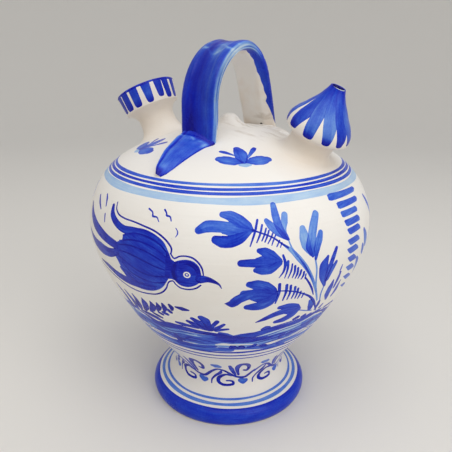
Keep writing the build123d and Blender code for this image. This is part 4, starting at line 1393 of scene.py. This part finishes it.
def makeCollar():
    place, seam = leaning(*dome["mouth"]), collar["seam"]
    line = readTurned("mouth_collar", place, readSteps(*collar["read"]))
    line[0] = collar["foot"]
    flank = len(line)
    sheet = Sheet([*line, collar["lip"], *collar["inside"]], seam, collar["unrolled"])
    brim = sheet.t[flank - 1]
    strokes = [circle(collar["rimTone"], brim - collar["rimDown"], collar["rimWidth"], seam,
                      *collar["rimShake"])]
    strokes += [collarBar(k, brim) for k in range(len(collar["bars"]))]
    lip = sheet.t[flank - collar["lipRows"]:]
    rows = np.unique(np.concatenate([np.arange(0, brim, collar["rowStep"]), lip]))
    mesh = paintedSheet("collarSkin", sheet, strokes, rows, collar, sheet.t[[-2, -3]])
    finishSheet(mesh, "paintedCollar", "mouth_collar", finish["mouth"], collar["smooth"],
                place)
    print("collar painted:", len(mesh.polygons), "faces")


# Drinking spout: an onion with blue petals that run together at the tip

spout = {
    "unrolled": 13.0, "columns": 96, "fineness": 0.5, "gap": 0.4, "seam": -81.0, "smooth": 45, "tip": 32.9,
    "read": (9.7, [(9.9, 13.4, 0.25), (13.6, 35.6, 0.8)], 35.9), "foot": (13.0, 9.6), "lip": (4.0, 35.7),
    "inside": ((3.95, 36.0), (3.6, 36.08), (3.3, 35.9), (3.0, 35.3), (2.6, 34.3), (2.4, 33.3), (2.4, 29.0),
               (7.4, 13.2), (7.4, 9.6), (13.0, 9.6)),
    # the thrown neck is fuller than the solid, and its tip is off the axis: heights, then mm
    "fuller": ((16, 19, 21.5, 23, 24.5, 26, 27.5, 29, 30.5, 32, 33.5, 35),
               (0, -0.3, 0, 0.4, 1.1, 1.5, 1.5, 1.3, 1.0, 0.75, 0.3, -0.1)),
    "off": ((28, 33), (0, 0.45)),
    # petals: both sides at the skirt, lower end, where it meets the next (around, up), and turn at the tip
    "petals": ((-70, -51.5, 4.3, -47.5, 23.8, -64), (-37.5, -18, 4.9, -8.5, 14.1, -34),
               (-3, 15.5, 4.1, 17, 17.5, -5), (31, 46.5, 4.4, 50.5, 14.1, 26.5),
               (58, 73.5, 4.9, 79.5, 12.3, 57), (85, 103, 5.6, 109, 13.5, 86),
               (115, 133, 4.6, 139, 16.0, 116), (146, 164, 4.3, 170, 13.0, 146),
               (176, 195, 4.9, 201, 17.5, 176), (207, 226, 4.4, 232, 14.0, 206),
               (238, 256, 4.8, 261, 15.5, 236), (266, 279, 4.5, 284.5, 14.0, 266)),
    "corner": ((4, 0.15), (1.2, 0.7), (0, 1.8)), "flare": (0.35, 0.45), "lap": 0.3, "lean": 98,
    # the fourth tone, the lightest, is partly a painted highlight on the petal that faces the light
    "tones": (0.78, 0.86, 0.72, 0.62, 0.88, 0.75),
    "lipRings": ((0.98, 0.5, 1.2), (1.7, 3.1, 4.2)), "lipShake": (0.05, 0.1),  # tone, up from the tip, width
    # a pale arc on the lip, over the front: around and width
    "paleArc": ((-15, 0.3), (8, 0.8), (40, 0.95), (66, 0.8), (84, 0.3)), "paleArcUp": 0.62, "paleArcTone": 0.12,
}


def petalSide(edge, end, meet, up, tipTurn, lap):
    # one side of a petal, from its corner at the skirt to the tip
    corner = cornerRows(edge, end, spout["corner"], copysign(1, lap))
    flareAround, flareUp = spout["flare"]
    tip = spout["tip"]
    return corner + [(edge + flareAround * (meet - edge), end + flareUp * (up - end)), (meet + lap, up),
                     (0.5 * (meet + tipTurn) + lap, 0.5 * (up + tip)), (tipTurn + lap, tip)]


def petal(k):
    # a flat-ended stroke that widens until it meets its neighbours, and twists towards the tip
    low, high, end, meetRight, upRight, tipRight = spout["petals"][k]
    meetLeft, upLeft, tipLeft = spout["petals"][k - 1][3:]
    if k == 0:
        meetLeft, tipLeft = meetLeft - 360, tipLeft - 360
    tip, lap = spout["tip"], spout["lap"]
    rows = [((low + high) / 2, end), *petalSide(high, end, meetRight, upRight, tipRight, lap),
            *reversed(petalSide(low, end, meetLeft, upLeft, tipLeft, -lap))]
    body = spout["tones"][k % len(spout["tones"])]
    # the blue pools at the skirt, and again where the petals run together
    tones = ((end, 1.3), (end + 1.6, 1.1), (end + 4.0, body), (end + 12, body - 0.08),
             (tip - 5, 0.86), (tip, 1.0))
    return blob(body, *rows, tones=tones, straight=True, lean=spout["lean"])


def makeSpout():
    place, seam = leaning(*dome["spout"]), spout["seam"]
    line = readTurned("drinking_spout", place, readSteps(*spout["read"]))
    line = [(r + np.interp(h, *spout["fuller"]), h) for r, h in line]
    line[0], line[-1] = spout["foot"], spout["lip"]
    flank = len(line)
    sheet = Sheet([*line, *spout["inside"]], seam, spout["unrolled"])
    tip = sheet.t[flank - 1]
    strokes = [petal(k) for k in range(len(spout["petals"]))]
    for tone, up, width in spout["lipRings"]:
        strokes.append(circle(tone, tip + up, width, seam, *spout["lipShake"]))
    paleArc = [(around, tip + spout["paleArcUp"], width) for around, width in spout["paleArc"]]
    strokes.append(leaf(spout["paleArcTone"], *paleArc, over=True))
    rows = np.unique(np.concatenate([sheet.t[:flank:2], sheet.t[flank - 1:]]))
    mesh = paintedSheet("spoutSkin", sheet, strokes, rows, spout, sheet.t[[-2, -3, -4]])
    for vertex in mesh.vertices:
        vertex.co.x -= mm * np.interp(vertex.co.z / mm, *spout["off"])
    finishSheet(mesh, "paintedSpout", "drinking_spout", finish["spout"], spout["smooth"],
                place)
    print("spout painted:", len(mesh.polygons), "faces, tip at", round(tip, 2))


# Pieces laid out as rings of points: necks, strap, tails, knob and coil

gridBake = {"edge": 0.003, "wide": 0.994, "capAt": (0.998, 0.002), "capStep": 0.001}


def gridPiece(name, rows, tone=None, brush=None, mask=None, closedAlong=False):
    # rows of closed rings, joined ring to ring; a mask over the columns keeps a paint edge crisp
    many, around = rows.shape[:2]
    steps = many if closedAlong else many - 1
    faces, uv, load, marks = [], [], [], []
    for i in range(steps):
        n = (i + 1) % many
        for j in range(around):
            m = (j + 1) % around
            faces.append((i * around + j, i * around + m, n * around + m, n * around + j))
            u0, u1, v0, v1 = j / around, (j + 1) / around, i / steps, (i + 1) / steps
            uv += [(u0, v0), (u1, v0), (u1, v1), (u0, v1)]
            if tone is not None:
                share = 1.0 if mask is None else mask[j]
                load += [share * t for t in (tone[i, j], tone[i, m], tone[n, m], tone[n, j])]
                marks += [(*brush[a, b], 0.0) for a, b in ((i, j), (i, m), (n, m), (n, j))]
    if not closedAlong:
        capU, capV = gridBake["capAt"]
        for i in (0, many - 1):
            faces.append(tuple(i * around + j for j in range(around)))
            uv += [(capU, capV + gridBake["capStep"] * (j % 2)) for j in range(around)]
            load += [0.0] * around
            marks += [(0.0, 0.0, 0.0)] * around
    mesh = bpy.data.meshes.new(name)
    mesh.from_pydata((rows.reshape(-1, 3) * mm).tolist(), [], faces)
    addBakeMap(mesh, gridBake["edge"] + gridBake["wide"] * np.array(uv, np.float32))
    if tone is not None:
        addPaint(mesh, load, marks)
    bm = bmesh.new()
    bm.from_mesh(mesh)
    bmesh.ops.triangulate(bm, faces=[f for f in bm.faces if len(f.verts) > 4])
    keepMesh(bm, mesh)
    mesh.update()
    return addPiece(name, mesh)


def bezier(a, b, c, d, t):
    return (1 - t)**3 * a + 3 * (1 - t)**2 * t * b + 3 * (1 - t) * t**2 * c + t**3 * d


def hump(x, at, spread):
    return exp(-((x - at) / spread)**2)


def humps(x, rows):
    return sum(high * hump(x, at, spread) for high, at, spread in rows)


def within(x):
    return min(max(x, 0), 1)


# Luted necks: turned, with a foot that is smoothed out into the dome all round

neck = {"top": (15.6, 17.8), "upper": ((13.7, 16.7), (12.2, 15.3), (11.2, 13.8), (10.7, 12.4)),
        "waist": (10.6, 11.2), "spread": 19.0, "drop": 6.0, "ease": 7.5, "bore": 7.6, "steps": 16}
stem = {"top": (13.0, 9.6), "upper": ((12.4, 8.8), (11.9, 8.0)),
        "waist": (11.7, 7.2), "spread": 18.0, "drop": 4.6, "ease": 6.5, "bore": 7.4, "steps": 14}
luting = {"around": 96, "edge": 61.6, "blend": 6, "wobble": 0.4, "sunk": 0.12, "smooth": 50}


def luteLine(seat, spread, turn):
    # where the foot runs out into the dome in one direction, and the slope it has there
    c, s = cos(turn), sin(turn)
    inward = seat.x * c + seat.y * s
    room = sqrt(inward**2 - seat.x**2 - seat.y**2 + luting["edge"]**2) - inward
    blend = luting["blend"]
    reach = (spread**-blend + room**-blend)**(-1 / blend) + luting["wobble"] * sin(3 * turn + 1)
    x, y = seat.x + reach * c, seat.y + reach * s
    normal, outward = domeNormal(x, y), Vector((c, s, 0))
    along = (outward - outward.dot(normal) * normal).normalized()
    return Vector((x, y, domeZ(hypot(x, y)))) - luting["sunk"] * normal, along


def makeNeck(name, node, place, form):
    turns = [tau * k / luting["around"] for k in range(luting["around"])]

    def ring(radius, height):
        return [leaningPoint(place, radius, a, height) for a in turns]

    rows = [ring(*row) for row in (form["top"], *form["upper"], form["waist"])]
    waist = rows[-1]
    down = place.to_3x3() @ Vector((0, 0, -1))
    lands = [luteLine(place.translation / mm, form["spread"], a) for a in turns]
    for s in range(1, form["steps"] + 1):
        t = s / form["steps"]
        rows.append([bezier(w, w + down * form["drop"], land - along * form["ease"], land, t)
                     for w, (land, along) in zip(waist, lands)])
    sunk = [onSurface(place, form["bore"], a, domeLine) for a in turns]
    rows.append([p * 0.5 + land * 0.5 for p, (land, _) in zip(sunk, lands)])
    rows.append(sunk)
    rows.append(ring(form["bore"], form["top"][1]))
    grid = np.array([[p[:] for p in row] for row in rows])
    piece = gridPiece(name, grid, closedAlong=True)
    # a warmer white, partly painted shade under collar and onion
    dress(piece, node, finish["neckAndStem"], luting["smooth"])


# Strap: a pulled band with rolled edges that arches over the dome, blue but for its inner face

strap = {
    "width": 20.6, "thick": 6.2, "round": 2.4, "slant": 20.0, "step": 1.0, "columns": 88, "innerColumns": 12,
    "front": (0.6, 176.9, 30.0), "rear": (0.6, 181.9, 25.0),  # the two arcs: y, z and radius
    "lift": 0.4, "sunk": 0.5, "settle": 12, "smooth": 50,
    # the front root: its share of the length, and how much thinner and narrower it gets
    "rootShare": 0.13, "rootThinner": 0.92, "rootNarrower": 0.06,
    "ridges": ((-0.5, 0.5, 5.2), (0.22, 6.3, 1.1), (0.16, -6.8, 1.2)),  # rise, across, spread
    "rollAt": 4.8, "waver": 0.012, "sag": 0.12, "sideDent": 0.16,
}
strapBlue = {
    # where the blue stops on each edge: share of the length, then mm from the inner face's middle
    "right": ((0, 0.3, 0.5, 0.56, 0.6, 0.67, 0.7, 0.76, 0.8, 0.823, 0.838, 0.855, 0.888, 0.91, 0.925, 0.945,
               0.97, 1),
              (9.5, 9, 7.8, 6.8, 6.3, 5.5, 5.8, 6.8, 7.6, 8.3, 8.5, 7.7, 8.5, 9.8, 10.6, 11.8, 13.4, 14.5)),
    "left": ((0, 0.4, 0.55, 0.7, 0.85, 1), (10.5, 10.6, 12.4, 13, 13.4, 15)),
    "rightShake": ((0.16, 0.41, 0), (0.14, 0.97, 1)), "leftShake": ((0.3, 0.33, 2), (0.15, 0.9, 0)),
    "body": 0.94, "across": ((0.18, -2.5, 3.4), (-0.1, 6.2, 2.2)),  # tone, across, spread
    "sideWide": 1.3, "sideFade": (0.5, 0.25), "rearLeg": 0.56,  # the sides are thin as far as the rear leg
    # patches: tone, share of the length and spread, across and spread; the pale second one, near the top of
    # the arch, is a painted highlight
    "patches": ((0.42, 0, 0.11, -5, 4), (-0.22, 0.36, 0.035, 3.5, 3.6)),
    # wrinkles over the top: share of the length, sway, turn and strength
    "wrinkles": ((0.4, 0.016, 1.0, 0.34), (0.43, 0.01, 2.6, 0.2), (0.365, 0.02, 4.2, 0.22)),
    "wrinkleWide": 0.007, "thinnest": 0.2, "brushFrom": 300,
}


def strapPath():
    # (y, z, direction) along the strap's middle, from the front root to the rear root
    step, slant = strap["step"], strap["slant"]

    def arc(y, z, r, start, end):
        turns = np.arange(start, end, -degrees(step / r))
        return [(y + r * cos(radians(t)), z + r * sin(radians(t)), t - 90) for t in turns]

    y, z, r = strap["front"]
    root = domeZ(abs(y - r)) + strap["lift"]
    rows = [(y - r, h, 90.0) for h in np.arange(root, z, step)]
    rows += arc(y, z, r, 180, 90)
    y, z, r = strap["rear"]
    rows += arc(y, z, r, 90, slant)
    a = radians(slant)
    y, z = y + r * cos(a), z + r * sin(a)
    d = 0.0
    while z - d * cos(a) > domeZ(y + d * sin(a)) + strap["lift"]:
        rows.append((y + d * sin(a), z - d * cos(a), slant - 90))
        d += step
    return np.array(rows)


def strapHalf():
    # half of the way round the strap's section
    w, t, r = strap["width"] / 2, strap["thick"] / 2, strap["round"]
    return 2 * (w - r) + r * pi + 2 * (t - r)


def ringPoint(d):
    # a rounded oblong by distance along its edge from the inner face's middle: across, outward
    w, t, r = strap["width"] / 2, strap["thick"] / 2, strap["round"]
    flat, arc, side = w - r, r * pi / 2, 2 * (t - r)
    half = 2 * flat + 2 * arc + side
    mirrored = d > half
    d = 2 * half - d if mirrored else d
    if d < flat:
        x, n = d, -t
    elif d < flat + arc:
        a = (d - flat) / r
        x, n = w - r + r * sin(a), -t + r - r * cos(a)
    elif d < flat + arc + side:
        x, n = w, -t + r + d - flat - arc
    elif d < flat + 2 * arc + side:
        a = (d - flat - arc - side) / r
        x, n = w - r + r * cos(a), t - r + r * sin(a)
    else:
        x, n = half - d, t
    return (-x if mirrored else x), n


def strapSection(x, n, along, share):
    # where a point of the plain section lies on the pulled one: across, outward
    form, t = strap, strap["thick"] / 2
    ridge = humps(x, form["ridges"])
    # pulling marks
    ridge += 0.05 * sin(x * 1.9 + 0.03 * along) + 0.06 * sin(x * 0.8 + 0.21 * along)
    rolled = 2.0 * within((x - form["rollAt"]) / 5)**1.2 + 0.9 * within((form["rollAt"] - x) / 15)
    sag = form["sag"] * sin(along * 0.16 + x * 0.3)
    deep = n + max(0.0, -n / t)**2 * rolled + max(0.0, n / t)**4 * ridge + sag
    narrower = form["rootNarrower"] * max(1 - share / form["rootShare"], 0)**2 if x > 0 else 0
    wide = x * (1 + form["waver"] * sin(along * 0.13 + 1) - narrower)
    if abs(n) < 2:
        wide += form["sideDent"] * sin(n * 4.2) * (1 if x > 0 else -1)
    return wide, deep


def strapTone(x, n, along, share):
    look, t = strapBlue, strap["thick"] / 2
    dark = look["body"] + humps(x, look["across"])
    sideFace = 1 - min(1.0, abs(abs(x) - strap["width"] / 2) / look["sideWide"])
    rearLeg = within((share - look["rearLeg"]) / 0.1)
    streak = 0.3 * sin(n * 3.4 + 0.4 + 1.4 * sin(along * 0.07))  # uneven, along the side
    streak *= 0.55 + 0.45 * sin(along * 0.23 + 2 * n)
    dark -= sideFace * (look["sideFade"][0 if x > 0 else 1] + streak) * (1 - rearLeg)
    # paler over the top of the arch: partly rubbed paint, partly a painted highlight
    dark -= 0.12 * hump(share, 0.4, 0.09) * (1 + sin(x * 0.7))  # rubbed over the top
    # the second patch paints a highlight near the top of the arch
    for tone, at, spread, across, wide in look["patches"]:
        dark += tone * hump(share, at, spread) * hump(x, across, wide)
    for at, sway, turn, strength in look["wrinkles"]:
        crack = hump(share, at + sway * sin(0.45 * x + turn), look["wrinkleWide"])
        dark -= strength * crack * (0.75 + 0.25 * sin(1.1 * x + turn)) * max(0.0, n / t)
    return max(dark, look["thinnest"])


def shaken(along, stops, waves):
    share = along / along[-1]
    return np.interp(share, *stops) + sum(high * np.sin(along * turn + start) for high, turn, start in waves)


def seatOnDome(ring, legUp):
    # slides the end of a leg along its own direction until it is sunk in the dome
    for j, p in enumerate(ring):
        for _ in range(strap["settle"]):
            p = p + np.array(legUp) * (domeZ(hypot(p[0], p[1])) - strap["sunk"] - p[2])
        ring[j] = p


def makeStrap():
    path = strapPath()
    many, columns = len(path), strap["columns"]
    around = 2 * strapHalf()
    along = np.concatenate([[0], np.cumsum(np.hypot(*np.diff(path[:, :2], axis=0).T))])
    share = along / along[-1]
    right = shaken(along, strapBlue["right"], strapBlue["rightShake"])
    left = around - shaken(along, strapBlue["left"], strapBlue["leftShake"])
    inner = strap["innerColumns"]
    outer = columns - 2 * inner
    grid = np.zeros((many, columns, 3))
    tone = np.zeros((many, columns))
    brush = np.zeros((many, columns, 2))
    heading = np.radians(path[:, 2])
    out = np.column_stack([-np.sin(heading), np.cos(heading)])
    for i in range(many):
        stops = [*np.linspace(0, right[i], inner + 1)[:-1], *np.linspace(right[i], left[i], outer + 1),
                 *np.linspace(left[i], around, inner + 1)[1:-1]]
        thinner = 1 - strap["rootThinner"] * max(1 - share[i] / strap["rootShare"], 0)**1.3
        for j, d in enumerate(stops):
            x, n = ringPoint(d)
            n *= thinner if n < 0 else 1
            wide, deep = strapSection(x, n, along[i], share[i])
            grid[i, j] = (wide, path[i, 0] + out[i, 0] * deep, path[i, 1] + out[i, 1] * deep)
            tone[i, j] = strapTone(x, n, along[i], share[i])
            brush[i, j] = (along[i] + strapBlue["brushFrom"], d)
    slant = radians(strap["slant"])
    seatOnDome(grid[0], (0, 0, 1))
    seatOnDome(grid[-1], (0, -sin(slant), cos(slant)))
    mask = [0.0 if j < inner or j >= inner + outer else 1.0 for j in range(columns)]
    piece = gridPiece("paintedStrap", grid, tone, brush, mask)
    dress(piece, "handle_strap", finish["handle"], strap["smooth"])
    print("strap:", many, "rings")


# Tails: lances pressed on the shoulder, with a rolled left edge and a thin tip

tail = {
    "reach": 61.6, "rows": 44, "across": 41, "under": 8, "tuck": 2.2, "sunk": 0.15, "smooth": 60,
    # half widths and thickness by share of the length
    "left": ((0, 0.2, 0.4, 0.6, 0.8, 0.93, 1), (10.3, 10.5, 9.3, 7.5, 5.0, 3.0, 1.3)),
    "right": ((0, 0.05, 0.1, 0.15, 0.2, 0.4, 0.6, 0.8, 0.93, 1),
              (10.2, 9.9, 8.9, 8.0, 7.5, 6.5, 5.7, 4.7, 3.3, 1.3)),
    "thick": ((0, 0.2, 0.6, 0.9, 1), (5.2, 4.6, 3.9, 2.9, 1.6)),
    "rearNarrower": 0.93, "crowd": 1.35, "heel": 1.3, "crease": 0.3, "thumb": 0.22, "lumps": 0.1,
    "underWide": 0.98,
    "edgeRoll": ((0.55, -0.72, 0.1), (-0.5, -0.55, 0.08)),  # rise, across, spread
}
tailBlue = {
    # crease: a painted shadow under the strap's bottom edge
    "body": 0.78, "thinnest": 0.2, "tip": 0.8, "tipFrom": 0.87, "root": 0.4, "crease": 0.35, "rubbed": 0.3,
    # lines along the tail: tone, across, spread; the first two are painted shade on the shaded side of the
    # rolled left edge and in the groove beside it, and the fourth is a painted highlight along the roll
    "lines": ((0.4, -0.86, 0.07), (0.28, -0.58, 0.05), (0.3, 0.98, 0.025), (-0.26, -0.71, 0.05),
              (-0.1, -0.36, 0.14)),
    # patches: tone, across and spread, share of the length and spread
    "patches": ((-0.34, 0.86, 0.1, 0.15, 0.06), (-0.2, 0.1, 0.4, 0.86, 0.07)),
    "brush": (1.4, 0.8), "brushFrom": (90, 700),
}


def tailRise(u, v, thick, front):
    # height of the tail's upper face: u runs across it from -1 to 1, v along it from 0 to 1
    form = tail
    flat = 1 - u**4
    rise = thick * max(1 - abs(u)**6, 0)**0.5 * (0.74 - 0.46 * u)  # thinner towards its right edge
    rise += form["heel"] * exp(-v * 24) * flat
    rise += humps(u, form["edgeRoll"]) * sin(pi * v)**0.6
    if front:
        rise += form["crease"] * hump(v, 0.17, 0.05) * sin(u * 6 + v * 30) * flat
        rise += form["thumb"] * hump(v, 0.27, 0.05) * hump(u, -0.35, 0.25)
    return rise + form["lumps"] * sin(v * 17 + u * 3) * flat


def tailTone(u, v, x):
    look = tailBlue
    # the lines paint shade and a highlight along the rolled left edge
    dark = look["body"] + humps(u, look["lines"])
    # painted shadow of the strap's bottom edge, along the crease where the tail leaves it
    dark += look["crease"] * hump(v, 0.08 - 0.0022 * x, 0.022)
    tipward = max(0, (v - look["tipFrom"]) / (1 - look["tipFrom"]))
    dark += look["tip"] * tipward * (1 if u < 0.3 else 0.5) + look["root"] * hump(v, 0, 0.06)
    rubbed = look["rubbed"] * hump(v, 0.13 + 0.012 * sin(u * 7), 0.022)
    dark -= rubbed * (0.5 + 0.5 * sin(u * 11 + 2))
    for tone, across, wide, at, spread in look["patches"]:
        dark += tone * hump(u, across, wide) * hump(v, at, spread)
    return max(dark, look["thinnest"])


def makeTail(name, node, side, turn, root, front):
    many, across, under = tail["rows"], tail["across"], tail["under"]
    ring = across + under
    grid = np.zeros((many, ring, 3))
    tone = np.zeros((many, ring))
    brush = np.zeros((many, ring, 2))
    start = root - tail["tuck"]
    spin = radians(turn)
    for i in range(many):
        v = i / (many - 1)
        reach = start + (tail["reach"] - start) * v
        left, right, thick = (np.interp(v, *tail[k]) for k in ("left", "right", "thick"))
        if not front:
            left, right = left * tail["rearNarrower"], right * tail["rearNarrower"]
        for j in range(ring):
            if j < across:
                u = -1 + 2 * j / (across - 1)
                u = copysign(1 - (1 - abs(u))**tail["crowd"], u)
                rise, grow, place = tailRise(u, v, thick, front), 1, u
            else:  # the underside, which is painted on from the right edge
                u = 1 - 2 * (j - across + 1) / (under + 1)
                rise, grow, place = 0.0, tail["underWide"], 1 + 0.1 * (j - across)
            x = u * (left if u < 0 else right) * grow
            y = side * (reach - root)
            turnedX = x * cos(spin) - y * sin(spin)
            turnedY = x * sin(spin) + y * cos(spin) + side * root
            seat = Vector((turnedX, turnedY, domeZ(hypot(turnedX, turnedY)) - tail["sunk"]))
            grid[i, j] = (seat + domeNormal(turnedX, turnedY) * rise)[:]
            tone[i, j] = tailTone(place, v, x)
            brush[i, j] = (reach * tailBlue["brush"][0] + tailBlue["brushFrom"][0] * side,
                           x * tailBlue["brush"][1] + tailBlue["brushFrom"][1])
    piece = gridPiece(name, grid, tone, brush)
    dress(piece, node, finish["tail"], tail["smooth"])


# Knob: a button of clay, a little out of round, that closes the dome at its centre

knob = {
    "rows": ((13, 0), (10.8, 0.15), (9.0, 0.55), (7.4, 1.3), (6.1, 2.4), (5.1, 3.6), (4.2, 4.8), (3.3, 5.7),
             (2.3, 6.25), (1.2, 6.5), (0.4, 6.55)),  # radius, rise
    "around": 64, "tip": (-0.9, 0.4), "tipRise": 6.4, "sunk": 0.1, "smooth": 50,
}


def makeKnob():
    rows = []
    tipX, tipY = knob["tip"]
    for radius, rise in knob["rows"]:
        ring = []
        lean = (rise / knob["tipRise"])**1.3
        for k in range(knob["around"]):
            a = tau * k / knob["around"]
            r = radius * (1 + 0.07 * sin(2 * a + 0.6) + 0.04 * sin(3 * a + rise))
            x, y = r * cos(a) + lean * tipX, r * sin(a) + lean * tipY
            ring.append((x, y, domeZ(hypot(x, y)) + rise - knob["sunk"]))
        rows.append(ring)
    piece = gridPiece("closingKnob", np.array(rows))
    dress(piece, "closing_knob", finish["plain"], knob["smooth"])


# Coil: a roll of clay smeared along the rear root and towards the spout, with a pinhole

coil = {
    "path": ((-14.5, 29.6, 0.3), (-11.0, 30.0, 1.6), (-5.0, 30.4, 2.5), (1.0, 30.4, 2.4), (7.0, 29.8, 2.5),
             (12.5, 27.6, 2.7), (17.5, 24.4, 2.8), (22.0, 20.8, 2.7), (25.8, 17.6, 2.2), (29.6, 14.8, 1.5),
             (33.4, 12.4, 0.9), (37.0, 10.4, 0.5), (39.5, 9.2, 0.3)),  # x, y, half width
    "step": 0.4, "top": 34, "under": 6, "spread": 1.8, "rise": 0.66, "sunk": 0.12, "underSunk": 0.2,
    "pit": (2.9, 30.9), "pitWide": 0.7, "pitDeep": 1.4, "smooth": 60,
}


def makeCoil():
    path = smoothRow(coil["path"], coil["step"])
    ahead = np.gradient(path[:, :2], axis=0)
    ahead /= np.hypot(*ahead.T)[:, None]
    top, under, (pitX, pitY) = coil["top"], coil["under"], coil["pit"]
    rows = []
    for i, (x, y, r) in enumerate(path):
        side = Vector((-ahead[i, 1], ahead[i, 0], 0))
        wave = 1 + 0.08 * sin(i * 0.11 + 1) + 0.05 * sin(i * 0.29)
        ring = []
        for k in range(top + under):
            w = -1 + 2 * k / (top - 1) if k < top else 1 - 2 * (k - top + 1) / (under + 1)
            p = Vector((x, y, 0)) + side * w * r * coil["spread"]
            high = -coil["underSunk"]
            if k < top:
                high = r * coil["rise"] * wave * (1 - w * w)**1.6 - coil["sunk"]
                away = (p.x - pitX)**2 + (p.y - pitY)**2
                high -= coil["pitDeep"] * exp(-away / coil["pitWide"]**2)
            ring.append((p.x, p.y, domeZ(hypot(p.x, p.y)) + high))
        rows.append(ring)
    piece = gridPiece("smearedCoil", np.array(rows))
    dress(piece, "rear_root_coil", finish["plain"], coil["smooth"])


makeBelly()
makeDome()
makeFoot()
makeCollar()
makeSpout()
makeNeck("lutedNeck", "filling_neck", leaning(*dome["mouth"]), neck)
makeNeck("lutedStem", "spout_stem", leaning(*dome["spout"]), stem)
makeStrap()
makeTail("frontTail", "handle_front_tail", -1, -4.0, 32.5, True)
makeTail("rearTail", "handle_rear_tail", 1, 0.0, 39.0, False)
makeKnob()
makeCoil()
print("pieces dressed")
